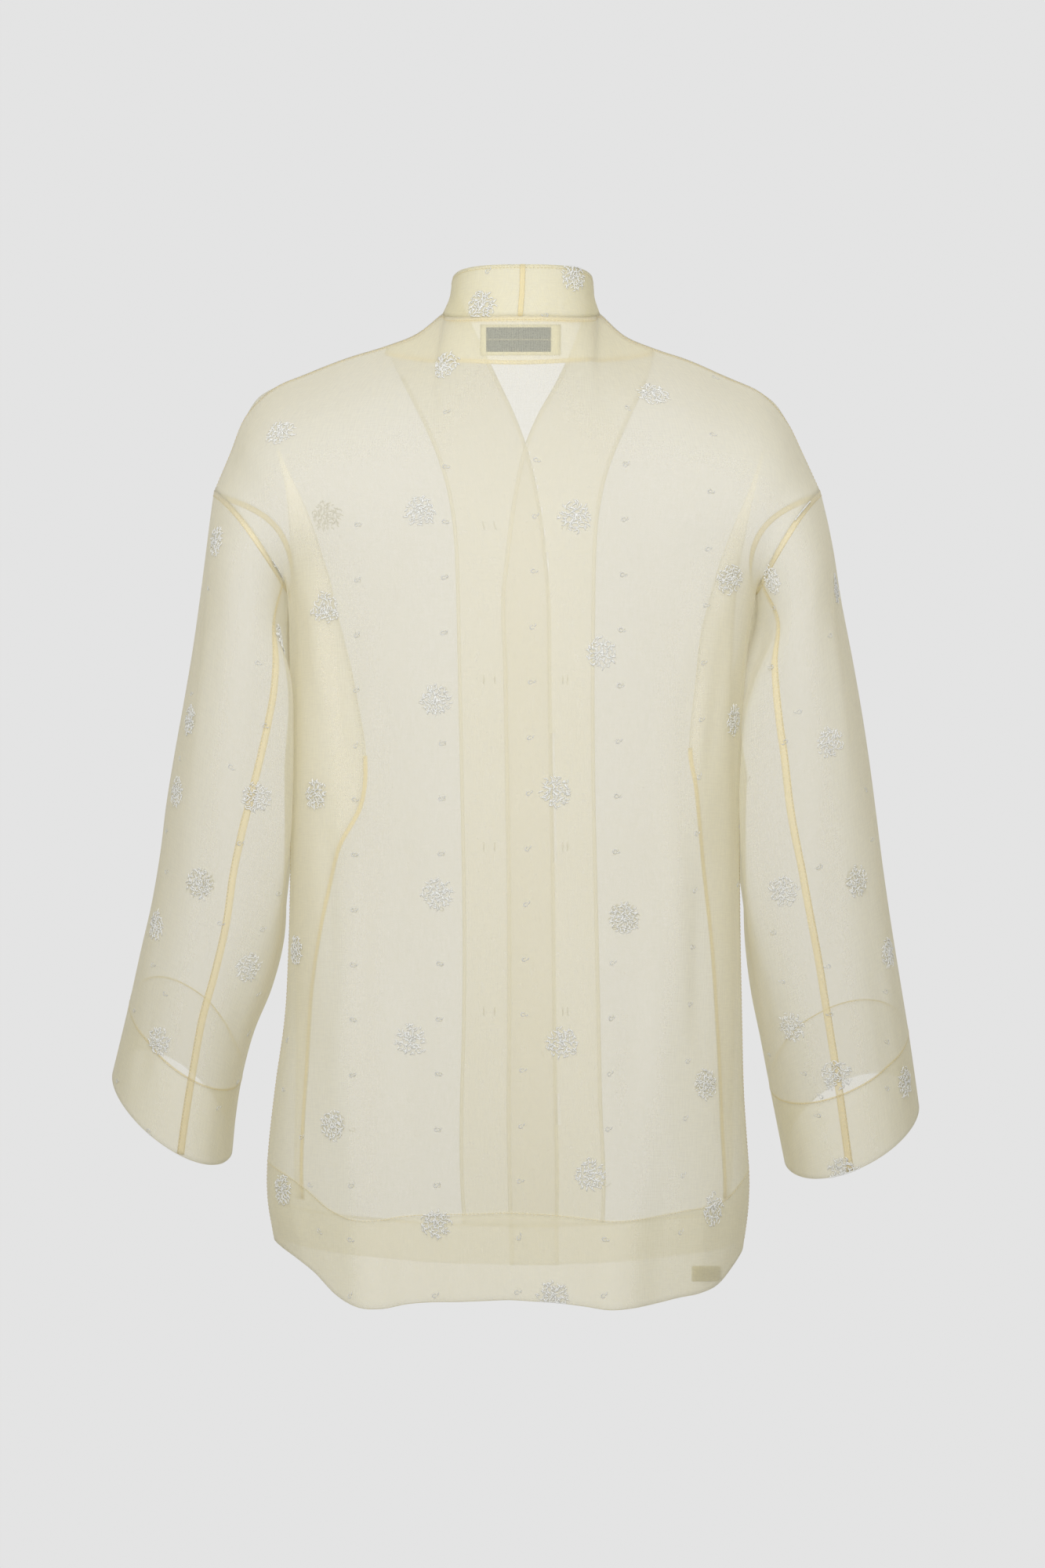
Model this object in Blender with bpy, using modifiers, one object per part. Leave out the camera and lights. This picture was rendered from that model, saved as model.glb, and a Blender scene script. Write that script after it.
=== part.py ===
"""A kebaya: a sheer hip-length jacket with a cut-on stand collar, lapped fronts and wide sleeves.

Every cloth piece is an open sheet of points with a Solidify wall, in metres.
+Z is up, the fronts face -Y and the wearer's left is +X. The origin is the middle of the neck.
The sheets are lofted through short tables of body and sleeve sections.
"""
import math

import bpy
import numpy as np

WALL = 0.0010                # one layer of cloth
HEM_WALL = 0.0022            # cloth and its turn-up, pressed together
LAYER_GAP = 0.0003           # between layers that lie on each other
NECK_LAYER_GAP = 0.0010      # more inside the back neck, where the cloth turns sharply
SEAM_GAP = 0.0005            # each edge stops this far short of its seam
SHOULDER_GAP = 0.0013        # more where the cloth turns over the shoulder
ARMHOLE_GAP = 0.0008
FACING_SEAM_GAP = 0.0012     # facings lie deeper round the shoulder, so they stop shorter

BODY_HEM = 0.063             # depth of the body's turn-up
SLEEVE_HEM = 0.060           # depth of the sleeve's turn-up
FACING_WIDTH = 0.075         # the double band along each front edge
NECK_FACING_DEPTH = 0.037
LABEL_SIZE = (0.058, 0.023)          # width and height
LABEL_PLACE = (0.002, -0.0125)       # middle of the upper edge: across and height
SIDE_LABEL_SIZE = (0.024, 0.013)
SIDE_LABEL_PLACE = (-0.141, -0.716)
HEM_STEP = 0.0015            # length over which the wall doubles at a turn-up's upper edge

COLLAR_BASE_HALF = 0.0600    # collar at its seam: half width and how far it stands behind the neck
COLLAR_BASE_BACK = 0.0580
COLLAR_BASE_HEIGHT = -0.0065
COLLAR_TOP_HALF = 0.0540
COLLAR_TOP_BACK = 0.0535
COLLAR_TOP_HEIGHT = 0.033
NECK_POINT_HEIGHT = 0.002    # where collar, shoulder seam and back neck meet
COLLAR_SIDE_HEIGHT = 0.026   # the collar's upper edge beside the neck

UNDERARM_HEIGHT = -0.209
ARMHOLE_TOP_HALF = 0.2315    # the dropped shoulder point
ARMHOLE_TOP_HEIGHT = -0.134
ARMHOLE_BACK = 0.080         # how far the armhole reaches behind and before the arm
ARMHOLE_FRONT = 0.074
ARMHOLE_SCOOP_BACK = 0.006   # how far the armhole seam is hollowed towards the body
ARMHOLE_SCOOP_FRONT = 0.022

LAP_LEFT = 0.0200            # how far each front passes the centre
LAP_RIGHT = 0.0185
LAP_DEPTH = 0.0055           # the under front lies this much deeper than the upper one
LAP_EASE = 0.060             # distance over which it comes back to the common surface
LAP_MARGIN = 0.010           # and how far past the upper front's edge that begins
LAP_TOP = (-0.035, 0.045)    # the fronts part at the V: height and length of that change

FRONT_RISE = 1.6             # a sleeve's front is raised this many times as much as its back hangs

ROUNDNESS = 0.88             # 1 is an ellipse, less is squarer

BACK_COLUMNS = 24
NECK_COLUMNS = 4             # columns of each half back that end on the neck
FACING_SHOULDER_COLUMNS = 2  # and on the shoulder over the neck facing
YOKE_ROWS = 11
BODY_ROWS = 9
HEM_ROWS = 3
BAND_COLUMNS = 4
COLLAR_ROWS = 2
FRONT_COLUMNS = 7
COLLAR_COLUMNS = 6
FACING_ROWS = 2
FACING_END_DEPTH = 0.004     # what is left of the neck facing's depth at the shoulder
LABEL_COLUMNS = 4
LABEL_ROWS = 2
SLEEVE_SIDES = 24
SLEEVE_ROWS = 11
SLEEVE_HEM_ROWS = 3
SAMPLES = 400                # points of a line that is then spaced evenly

HEM_HEIGHT = -0.740          # the level hem that the columns are spaced on
SEAM_CLEAR = (0.010, 0.030)  # folds start this far from the side seams, and grow over this distance
FOLD_START = 1.5             # a fold is at its full depth this many times before its end
TOP_FADE = 2.5               # how fast the shoulder and neck lines lose their hold on the panel's depth
BOTTOM_FADE = 2.0            # and how fast the underarm line gains it


def table(names, rows):
    """Name the columns of a short table."""
    return {name: np.array(column) for name, column in zip(names, zip(*rows))}


# Sections of the body from underarm to hem: how far the side seams lie to the wearer's left and right,
# the depth before and behind them, and where the middle of the back and of the fronts hang.
BODY = table(
    ("height", "left", "right", "front", "back", "middle", "front_middle"),
    (
        (-0.760, 0.1870, 0.1650, 0.1150, 0.1130, 0.0110, -0.0080),
        (-0.712, 0.1900, 0.1680, 0.1150, 0.1120, 0.0112, -0.0078),
        (-0.672, 0.1960, 0.1725, 0.1145, 0.1110, 0.0112, -0.0075),
        (-0.610, 0.1925, 0.1690, 0.1140, 0.1080, 0.0105, -0.0065),
        (-0.540, 0.1830, 0.1670, 0.1130, 0.1020, 0.0085, -0.0052),
        (-0.450, 0.1790, 0.1655, 0.1140, 0.0970, 0.0070, -0.0040),
        (-0.330, 0.1785, 0.1655, 0.1190, 0.0970, 0.0065, -0.0020),
        (-0.260, 0.1790, 0.1690, 0.1190, 0.0975, 0.0062, -0.0012),
        (-0.209, 0.1800, 0.1780, 0.1150, 0.0985, 0.0060, -0.0010),
        (-0.134, 0.1790, 0.1690, 0.1080, 0.0960, 0.0050, -0.0015),
        (-0.090, 0.1790, 0.1690, 0.1050, 0.0940, 0.0060, -0.0015),
        (-0.046, 0.1790, 0.1690, 0.1020, 0.0920, 0.0080, -0.0040),
        (0.000, 0.1750, 0.1710, 0.1000, 0.0900, 0.0020, -0.0020),
        (0.040, 0.1750, 0.1710, 0.1000, 0.0900, 0.0005, -0.0010),
    ),
)

# The shoulder line from the neck point to the dropped shoulder point, seen from behind.
SHOULDER = table(
    ("half_width", "height"),
    (
        (COLLAR_BASE_HALF, NECK_POINT_HEIGHT),
        (0.0725, -0.0100),
        (0.0978, -0.0220),
        (0.1338, -0.0340),
        (0.1650, -0.0475),
        (0.1970, -0.0640),
        (0.2165, -0.1000),
        (ARMHOLE_TOP_HALF, ARMHOLE_TOP_HEIGHT),
    ),
)

# The middle of the back from the neck seam to the underarm line.
CENTRE_BACK = table(
    ("height", "depth"),
    (
        (COLLAR_BASE_HEIGHT, COLLAR_BASE_BACK),
        (-0.030, 0.0690),
        (-0.080, 0.0850),
        (-0.140, 0.0950),
        (UNDERARM_HEIGHT, 0.0985),
    ),
)

# The free edge of a front, from the collar's side down the V and into the lap. A negative reach is
# on the piece's own side of the centre, and past the last row the edge runs straight to the hem.
FRONT_EDGE = table(
    ("reach", "depth", "height"),
    (
        (-COLLAR_TOP_HALF, 0.0000, COLLAR_SIDE_HEIGHT),
        (-0.0525, 0.0250, 0.0175),
        (-0.0466, 0.0480, 0.0055),
        (-0.0307, 0.0720, -0.0280),
        (0.0000, 0.0960, -0.0894),
        (0.0110, 0.1070, -0.1400),
        (LAP_RIGHT, 0.1150, UNDERARM_HEIGHT),
    ),
)

# Sections of a sleeve from the armhole down. Each is a slanted ring, given by its outermost and
# innermost points, how far its middle lies before the shoulder line, its half depth, how much its
# back hangs down, and how far its inner side wraps round the body that it touches.
SLEEVE_NAMES = (
    "outer_x", "outer_z", "inner_x", "inner_z", "forward", "half_depth", "back_drop", "wrap",
)
SLEEVE_LEFT = table(
    SLEEVE_NAMES,
    (
        (0.2415, -0.170, 0.1840, -0.238, 0.001, 0.0780, 0.002, 0.004),
        (0.2475, -0.215, 0.1822, -0.288, 0.004, 0.0780, 0.004, 0.016),
        (0.2560, -0.270, 0.1820, -0.342, 0.009, 0.0775, 0.005, 0.018),
        (0.2660, -0.322, 0.1820, -0.393, 0.015, 0.0770, 0.008, 0.018),
        (0.2755, -0.375, 0.1830, -0.442, 0.023, 0.0760, 0.011, 0.012),
        (0.2835, -0.430, 0.1875, -0.494, 0.033, 0.0750, 0.014, 0.004),
        (0.2965, -0.485, 0.2085, -0.548, 0.044, 0.0735, 0.017, 0.0),
        (0.3085, -0.535, 0.2215, -0.598, 0.055, 0.0715, 0.019, 0.0),
        (0.3210, -0.583, 0.2275, -0.645, 0.066, 0.0700, 0.021, 0.0),
    ),
)
SLEEVE_RIGHT = table(
    SLEEVE_NAMES,
    (
        (0.2350, -0.170, 0.1860, -0.238, 0.001, 0.0780, 0.002, 0.002),
        (0.2430, -0.218, 0.1770, -0.288, 0.004, 0.0780, 0.004, 0.010),
        (0.2545, -0.275, 0.1705, -0.342, 0.009, 0.0775, 0.007, 0.018),
        (0.2640, -0.330, 0.1690, -0.393, 0.015, 0.0775, 0.007, 0.018),
        (0.2720, -0.385, 0.1695, -0.444, 0.023, 0.0775, 0.010, 0.014),
        (0.2800, -0.440, 0.1725, -0.498, 0.033, 0.0770, 0.012, 0.005),
        (0.2900, -0.498, 0.1830, -0.552, 0.044, 0.0765, 0.014, 0.0),
        (0.3000, -0.554, 0.1935, -0.604, 0.055, 0.0755, 0.018, 0.0),
        (0.3085, -0.607, 0.2035, -0.652, 0.066, 0.0745, 0.022, 0.0),
    ),
)

# Soft hanging folds of the body: on the back (1) or the fronts (-1), where they start and end, how
# wide they are and how deep. A negative depth is a hollow.
FOLDS = table(
    ("face", "x_top", "z_top", "x_end", "z_end", "width", "depth"),
    (
        (1, 0.160, -0.215, 0.118, -0.760, 0.026, 0.0120),
        (1, 0.100, -0.330, 0.078, -0.760, 0.018, -0.0050),
        (1, -0.172, -0.100, -0.136, -0.330, 0.015, 0.0045),
        (1, -0.136, -0.330, -0.160, -0.760, 0.020, -0.0060),
        (1, -0.040, -0.430, -0.074, -0.760, 0.030, 0.0110),
        (1, 0.010, -0.480, 0.012, -0.760, 0.026, -0.0060),
        (-1, 0.120, -0.240, 0.105, -0.760, 0.026, 0.0080),
        (-1, -0.118, -0.240, -0.112, -0.760, 0.026, 0.0080),
        (-1, 0.066, -0.450, 0.062, -0.760, 0.020, -0.0040),
    ),
)

# Height of the hem round each side of the body, by turns from the centre back to the centre front.
HEM_LEFT = table(
    ("turn", "height"),
    (
        (0.000, -0.7395), (0.100, -0.7415), (0.200, -0.7455), (0.235, -0.7405), (0.286, -0.7250),
        (0.348, -0.7135), (0.420, -0.7070), (0.500, -0.7045), (0.650, -0.7180), (0.850, -0.7340),
        (1.000, -0.7385), (1.200, -0.7385),
    ),
)
HEM_RIGHT = table(
    ("turn", "height"),
    (
        (0.000, -0.7395), (0.060, -0.7415), (0.124, -0.7455), (0.175, -0.7440), (0.235, -0.7405),
        (0.332, -0.7350), (0.400, -0.7215), (0.500, -0.7090), (0.650, -0.7210), (0.850, -0.7350),
        (1.000, -0.7385), (1.200, -0.7385),
    ),
)

CLOTH_COLOUR = (0.80, 0.76, 0.62, 1.0)
FACING_COLOUR = (0.84, 0.78, 0.60, 1.0)
LABEL_COLOUR = (0.45, 0.46, 0.38, 1.0)
CLOTH_ROUGHNESS = 0.55
LABEL_ROUGHNESS = 0.70


def clear_scene():
    for item in list(bpy.data.objects):
        bpy.data.objects.remove(item)


def material(name, colour, roughness):
    made = bpy.data.materials.new(name)
    made.use_nodes = True
    shader = made.node_tree.nodes["Principled BSDF"]
    shader.inputs["Base Color"].default_value = colour
    shader.inputs["Roughness"].default_value = roughness
    shader.inputs["Metallic"].default_value = 0.0
    made.diffuse_color = colour
    return made


def ease(value):
    """Run smoothly from 0 to 1."""
    value = np.clip(value, 0.0, 1.0)
    return value * value * (3.0 - 2.0 * value)


def curve_at(knots, values, place):
    """Read a smooth curve through (knots, values)."""
    slopes = np.gradient(values, knots)
    index = np.clip(np.searchsorted(knots, place) - 1, 0, len(knots) - 2)
    span = knots[index + 1] - knots[index]
    t = np.clip((place - knots[index]) / span, 0.0, 1.0)
    blend = t * t * (3.0 - 2.0 * t)
    start = values[index] + slopes[index] * span * t * (1.0 - t) ** 2 - (values[index]) * blend
    return start + values[index + 1] * blend - slopes[index + 1] * span * t * t * (1.0 - t)


def lengths(points):
    """Distance of each point along its line."""
    steps = np.linalg.norm(np.diff(points, axis=0), axis=1)
    return np.concatenate(([0.0], np.cumsum(steps)))


def at_lengths(points, places):
    """Points of a line at given distances along it."""
    run = lengths(points)
    return np.stack([np.interp(places, run, points[:, axis]) for axis in range(3)], axis=1)


def respaced(points, count):
    """The line again, as evenly spaced points."""
    return at_lengths(points, np.linspace(0.0, lengths(points)[-1], count))


def rounded(value):
    return np.sign(value) * np.abs(value) ** ROUNDNESS


def body_at(column, height):
    return curve_at(BODY["height"], BODY[column], height)


def middle_at(height):
    return body_at("middle", height)


def body_point(turn, height, side):
    """Point of the body's surface: turn 0 is the centre back, 0.5 a side seam, 1 the centre front."""
    turn = np.asarray(turn, dtype=float)
    height = np.broadcast_to(np.asarray(height, dtype=float), turn.shape)
    angle = turn * math.pi
    seam = body_at("left", height) if side > 0 else -body_at("right", height)
    middle = middle_at(height)
    depth = np.where(np.cos(angle) > 0.0, body_at("back", height), body_at("front", height))
    across = middle + (seam - middle) * rounded(np.sin(angle))
    return np.stack([across, depth * rounded(np.cos(angle)), height], axis=-1)


def folds_added(points):
    """Push the hanging folds out of the body's surface."""
    out = points.copy()
    face = np.sign(points[..., 1])
    for row in range(len(FOLDS["face"])):
        x_top, z_top = FOLDS["x_top"][row], FOLDS["z_top"][row]
        x_end, z_end = FOLDS["x_end"][row], FOLDS["z_end"][row]
        along = (z_top - points[..., 2]) / (z_top - z_end)
        middle = x_top + (x_end - x_top) * along
        across = (points[..., 0] - middle) / FOLDS["width"][row]
        swell = ease(along * FOLD_START) * np.exp(-across * across)
        clear = ease((np.abs(points[..., 1]) - SEAM_CLEAR[0]) / SEAM_CLEAR[1])
        out[..., 1] += face * (face == FOLDS["face"][row]) * FOLDS["depth"][row] * swell * clear
    return out


def shoulder_line(side, count):
    """The shoulder seam from the neck point outwards."""
    knots = lengths(np.stack([SHOULDER["half_width"], SHOULDER["height"]], axis=1))
    place = np.linspace(0.0, knots[-1], SAMPLES)
    half = curve_at(knots, SHOULDER["half_width"], place)
    height = curve_at(knots, SHOULDER["height"], place)
    line = np.stack([side * half + middle_at(height), np.zeros_like(half), height], axis=1)
    return respaced(line, count)


def shoulder_points(side, facing_columns, columns):
    """Columns' ends on the shoulder seam after the neck point, one of them at the facings' edge."""
    line = shoulder_line(side, SAMPLES)
    facing_end = FACING_WIDTH - (COLLAR_SIDE_HEIGHT - NECK_POINT_HEIGHT)
    inner = np.linspace(0.0, facing_end, facing_columns + 1)[1:]
    outer = np.linspace(facing_end, lengths(line)[-1], columns - facing_columns + 1)[1:]
    return at_lengths(line, np.concatenate((inner, outer)))


def armhole_point(angle, side):
    """Point of the armhole seam: angle 0 is the shoulder point, pi the underarm, pi/2 the back."""
    angle = np.asarray(angle, dtype=float)
    top = np.array([ARMHOLE_TOP_HALF, 0.0, ARMHOLE_TOP_HEIGHT])
    seam = body_point(0.5, UNDERARM_HEIGHT, side)
    bottom = np.array([abs(seam[0] - middle_at(UNDERARM_HEIGHT)), 0.0, UNDERARM_HEIGHT])
    middle = (top + bottom) / 2.0
    towards_top = (top - bottom) / 2.0
    inward = np.array([-towards_top[2], 0.0, towards_top[0]]) / np.linalg.norm(towards_top)
    behind = np.sin(angle) > 0.0
    reach = np.where(behind, ARMHOLE_BACK, ARMHOLE_FRONT) * np.sin(angle)
    scoop = np.where(behind, ARMHOLE_SCOOP_BACK, ARMHOLE_SCOOP_FRONT) * np.sin(angle) ** 2
    point = middle + np.cos(angle)[..., None] * towards_top + scoop[..., None] * inward
    point[..., 1] = reach
    point[..., 0] = side * point[..., 0] + middle_at(point[..., 2])
    return point


def stretched(top, bottom, near, far):
    """Stretch a grid between four edges: rows run down, columns run from the near edge outwards."""
    across = (lengths(top) / lengths(top)[-1] + lengths(bottom) / lengths(bottom)[-1]) / 2.0
    down = (lengths(near) / lengths(near)[-1] + lengths(far) / lengths(far)[-1]) / 2.0
    u = ease(across)[None, :, None]
    v = down[:, None, None]
    top_pull = np.concatenate((1 - v, (1 - v) ** TOP_FADE, 1 - v), axis=2)
    bottom_pull = np.concatenate((v, v ** BOTTOM_FADE, v), axis=2)
    off_top = top[None] - ((1 - u) * top[0] + u * top[-1])
    off_bottom = bottom[None] - ((1 - u) * bottom[0] + u * bottom[-1])
    ruled_across = (1 - u) * near[:, None] + u * far[:, None]
    return ruled_across + top_pull * off_top + bottom_pull * off_bottom


def settled(grid, rows, passes=3):
    """Even out the rows near the underarm line, so that no ridge runs across the panel."""
    grid = grid.copy()
    for _ in range(passes):
        middle = grid[1:rows, 1:-1]
        grid[1:rows, 1:-1] = middle / 2 + (grid[0:rows - 1, 1:-1] + grid[2:rows + 1, 1:-1]) / 4
    return grid


def hem_height(turn, side):
    line = HEM_LEFT if side > 0 else HEM_RIGHT
    return curve_at(line["turn"], line["height"], np.asarray(turn, dtype=float))


def body_levels():
    """Share of the way from underarm to hem of each row, and which rows are in the turn-up."""
    drop = UNDERARM_HEIGHT - HEM_HEIGHT
    hem_top = 1.0 - BODY_HEM / drop
    above = np.linspace(0.0, hem_top - HEM_STEP / drop, BODY_ROWS)
    inside = np.linspace(hem_top, 1.0, HEM_ROWS)
    return np.concatenate((above, inside))


def lower_rows(turns, hem_turns, side):
    """Rows of a body panel below the underarm; the columns' turns drift from one list to the other."""
    rows = []
    for level in body_levels()[1:]:
        row_turns = turns + (hem_turns - turns) * level
        height = UNDERARM_HEIGHT + (hem_height(row_turns, side) - UNDERARM_HEIGHT) * level
        rows.append(body_point(row_turns, height, side))
    return np.array(rows)


def even_turns(start, end, count, height, side):
    """Turns that space points evenly along the body's surface at one height."""
    fine = np.linspace(start, end, SAMPLES)
    run = lengths(body_point(fine, height, side))
    return np.interp(np.linspace(0.0, run[-1], count), run, fine)


def half_back(side):
    """Half of the back, from the centre to the armhole and side seam."""
    half_columns = BACK_COLUMNS // 2
    share = np.linspace(0.0, math.pi / 2.0, NECK_COLUMNS + 1)
    rise = NECK_POINT_HEIGHT - COLLAR_BASE_HEIGHT
    neck_height = COLLAR_BASE_HEIGHT + rise * (1.0 - np.cos(share)) ** 2
    neck = np.stack([
        middle_at(neck_height) + side * COLLAR_BASE_HALF * rounded(np.sin(share)),
        COLLAR_BASE_BACK * rounded(np.cos(share)),
        neck_height,
    ], axis=1)
    shoulder = shoulder_points(side, FACING_SHOULDER_COLUMNS, half_columns - NECK_COLUMNS)
    top = np.concatenate((neck, shoulder))
    turns = even_turns(0.0, 0.5, half_columns + 1, UNDERARM_HEIGHT, side)
    bottom = body_point(turns, UNDERARM_HEIGHT, side)
    heights = np.linspace(COLLAR_BASE_HEIGHT, UNDERARM_HEIGHT, YOKE_ROWS)
    depth = curve_at(-CENTRE_BACK["height"], CENTRE_BACK["depth"], -heights)
    near = np.stack([middle_at(heights), depth, heights], axis=1)
    far = armhole_point(np.linspace(0.0, math.pi, YOKE_ROWS), side)
    yoke = stretched(top, bottom, near, far)
    return np.concatenate((yoke, lower_rows(turns, turns, side)))


def back_grid():
    left = half_back(1.0)
    right = half_back(-1.0)
    grid = np.concatenate((left[:, ::-1], right[:, 1:]), axis=1)
    return folds_added(settled(grid, YOKE_ROWS + 3))


def front_edge(side, count):
    """The free edge of a front, from the collar's side to the underarm line."""
    lap = LAP_LEFT if side > 0 else LAP_RIGHT
    reach = np.where(FRONT_EDGE["reach"] > 0, FRONT_EDGE["reach"] * lap / LAP_RIGHT, FRONT_EDGE["reach"])
    height = FRONT_EDGE["height"]
    middle = body_at("front_middle", height)
    middle[0] = middle_at(height[0])
    line = np.stack([middle - side * reach, -FRONT_EDGE["depth"], height], axis=1)
    knots = lengths(line)
    place = np.linspace(0.0, knots[-1], SAMPLES)
    smooth = np.stack([curve_at(knots, line[:, axis], place) for axis in range(3)], axis=1)
    return respaced(smooth, count)


def front_turns(side, height):
    """Turns of a front's columns: the band's at their true widths, the rest evenly to the side."""
    lap = LAP_LEFT if side > 0 else LAP_RIGHT
    fine = np.linspace(0.5, 1.3, SAMPLES)
    line = body_point(fine, height, side)
    run = lengths(line)
    centre = np.interp(-side * body_at("front_middle", height), -side * line[:, 0], run)
    edge = centre + lap
    band = edge - np.linspace(0.0, FACING_WIDTH, BAND_COLUMNS + 1)
    rest = np.linspace(band[-1], 0.0, FRONT_COLUMNS + 1)
    return np.interp(np.concatenate((band, rest[1:])), run, fine)


def under_lap(grid, side):
    """Lay the band of the right front deeper where the left one crosses it."""
    if side > 0:
        return grid
    grid = grid.copy()
    across = np.cumsum(np.linalg.norm(np.diff(grid, axis=1), axis=2), axis=1)
    across = np.concatenate((np.zeros((len(grid), 1)), across), axis=1)
    width = LAP_LEFT + LAP_RIGHT + LAP_MARGIN
    share = 1.0 - ease((across - width) / LAP_EASE)
    below_v = ease((LAP_TOP[0] - grid[..., 2]) / LAP_TOP[1])
    grid[..., 1] += LAP_DEPTH * share * below_v
    return grid


def front_grid(side):
    """A front from its free edge outwards to the armhole and side seam."""
    collar = np.linspace(0.0, 1.0, COLLAR_ROWS + 1)
    half = COLLAR_TOP_HALF + (COLLAR_BASE_HALF - COLLAR_TOP_HALF) * collar ** 2
    height = COLLAR_SIDE_HEIGHT + (NECK_POINT_HEIGHT - COLLAR_SIDE_HEIGHT) * collar
    collar_side = np.stack([side * half + middle_at(height), np.zeros_like(half), height], axis=1)
    columns = BAND_COLUMNS - COLLAR_ROWS + FRONT_COLUMNS
    top = np.concatenate((collar_side, shoulder_points(side, BAND_COLUMNS - COLLAR_ROWS, columns)))
    turns = front_turns(side, UNDERARM_HEIGHT)
    bottom = body_point(turns, UNDERARM_HEIGHT, side)
    near = front_edge(side, YOKE_ROWS)
    near[-1] = bottom[0]
    far = armhole_point(np.linspace(0.0, -math.pi, YOKE_ROWS), side)
    yoke = stretched(top, bottom, near, far)
    grid = np.concatenate((yoke, lower_rows(turns, front_turns(side, HEM_HEIGHT), side)))
    return under_lap(folds_added(settled(grid, YOKE_ROWS + 3)), side)


def collar_grid(side):
    """Half of the stand collar behind the neck: rows run down, columns run from the side to the back."""
    share = np.linspace(math.pi / 2.0, 0.0, COLLAR_COLUMNS + 1)
    rows = []
    for step in np.linspace(0.0, 1.0, COLLAR_ROWS + 1):
        half = COLLAR_TOP_HALF + (COLLAR_BASE_HALF - COLLAR_TOP_HALF) * step ** 2
        back = COLLAR_TOP_BACK + (COLLAR_BASE_BACK - COLLAR_TOP_BACK) * step ** 2
        side_height = COLLAR_SIDE_HEIGHT + (NECK_POINT_HEIGHT - COLLAR_SIDE_HEIGHT) * step
        back_height = COLLAR_TOP_HEIGHT + (COLLAR_BASE_HEIGHT - COLLAR_TOP_HEIGHT) * step
        height = back_height + (side_height - back_height) * (1.0 - np.cos(share)) ** 2
        across = middle_at(height) + side * half * rounded(np.sin(share))
        rows.append(np.stack([across, back * rounded(np.cos(share)), height], axis=1))
    return np.array(rows)


def sleeve_grid(side):
    """A sleeve: rows run down from the armhole, columns run round from the shoulder to the back."""
    rows_table = SLEEVE_LEFT if side > 0 else SLEEVE_RIGHT
    angle = np.linspace(0.0, 2.0 * math.pi, SLEEVE_SIDES, endpoint=False)
    rings = [armhole_point(angle, side)]
    for row in range(len(rows_table["outer_x"])):
        outer = np.array([rows_table["outer_x"][row], rows_table["outer_z"][row]])
        inner = np.array([rows_table["inner_x"][row], rows_table["inner_z"][row]])
        plan = (outer + inner) / 2 + np.cos(angle)[:, None] * (outer - inner) / 2
        plan[:, 0] -= rows_table["wrap"][row] * np.sin(2 * angle) ** 4 * (np.cos(angle) < 0)
        reach = np.sin(angle)
        rings.append(np.stack([
            side * plan[:, 0],
            reach * rows_table["half_depth"][row] - rows_table["forward"][row],
            plan[:, 1] - reach * np.where(reach > 0, 1.0, FRONT_RISE) * rows_table["back_drop"][row],
        ], axis=1))
    rings = np.array(rings)
    columns = []
    for column in range(SLEEVE_SIDES):
        line = rings[:, column]
        knots = lengths(line)
        total = knots[-1]
        above = np.linspace(0.0, total - SLEEVE_HEM - HEM_STEP, SLEEVE_ROWS)
        inside = np.linspace(total - SLEEVE_HEM, total, SLEEVE_HEM_ROWS)
        place = np.concatenate((above, inside))
        columns.append(np.stack([curve_at(knots, line[:, axis], place) for axis in range(3)], axis=1))
    return np.stack(columns, axis=1)


def pulled_back(grid, edge, distance):
    """Move one edge of a grid towards its neighbour row or column."""
    grid = grid.copy()
    first, second = {
        "top": (np.s_[0], np.s_[1]),
        "first": (np.s_[:, 0], np.s_[:, 1]),
        "last": (np.s_[:, -1], np.s_[:, -2]),
        "bottom": (np.s_[-1], np.s_[-2]),
    }[edge]
    step = grid[second] - grid[first]
    grid[first] += step / np.linalg.norm(step, axis=-1, keepdims=True) * distance
    return grid


class Sheet:
    """Points and triangles of one or more grids that share their meeting edges."""

    def __init__(self):
        self.points = []
        self.places = []
        self.faces = []

    def add(self, grid, name, closed=False, flip=False):
        rows, columns = grid.shape[:2]
        start = len(self.points)
        self.points.extend(grid.reshape(-1, 3))
        self.places.extend((name, row, column) for row in range(rows) for column in range(columns))
        for row in range(rows - 1):
            for column in range(columns if closed else columns - 1):
                after = (column + 1) % columns
                a = start + row * columns + column
                b = start + row * columns + after
                c = start + (row + 1) * columns + after
                d = start + (row + 1) * columns + column
                if flip:
                    self.faces.extend(((b, c, a), (c, d, a)))
                else:
                    self.faces.extend(((a, c, b), (a, d, c)))
        return self

    def weld(self, distance=1e-5):
        """Join points that lie on each other."""
        seen = {}
        index = []
        for place, point in enumerate(self.points):
            key = tuple(np.round(np.asarray(point) / distance).astype(int))
            index.append(seen.setdefault(key, place))
        self.faces = [tuple(index[corner] for corner in face) for face in self.faces]
        return self

    def normals(self):
        points = np.array(self.points)
        total = np.zeros_like(points)
        for face in self.faces:
            for turn in range(3):
                here, ahead, behind = (points[face[(turn + step) % 3]] for step in (0, 1, 2))
                one, two = ahead - here, behind - here
                normal = np.cross(one, two)
                size = np.linalg.norm(one) * np.linalg.norm(two)
                angle = math.acos(max(-1.0, min(1.0, float(one @ two) / size)))
                total[face[turn]] += normal / np.linalg.norm(normal) * angle
        length = np.linalg.norm(total, axis=1, keepdims=True)
        return total / np.where(length > 0, length, 1.0)


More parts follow.
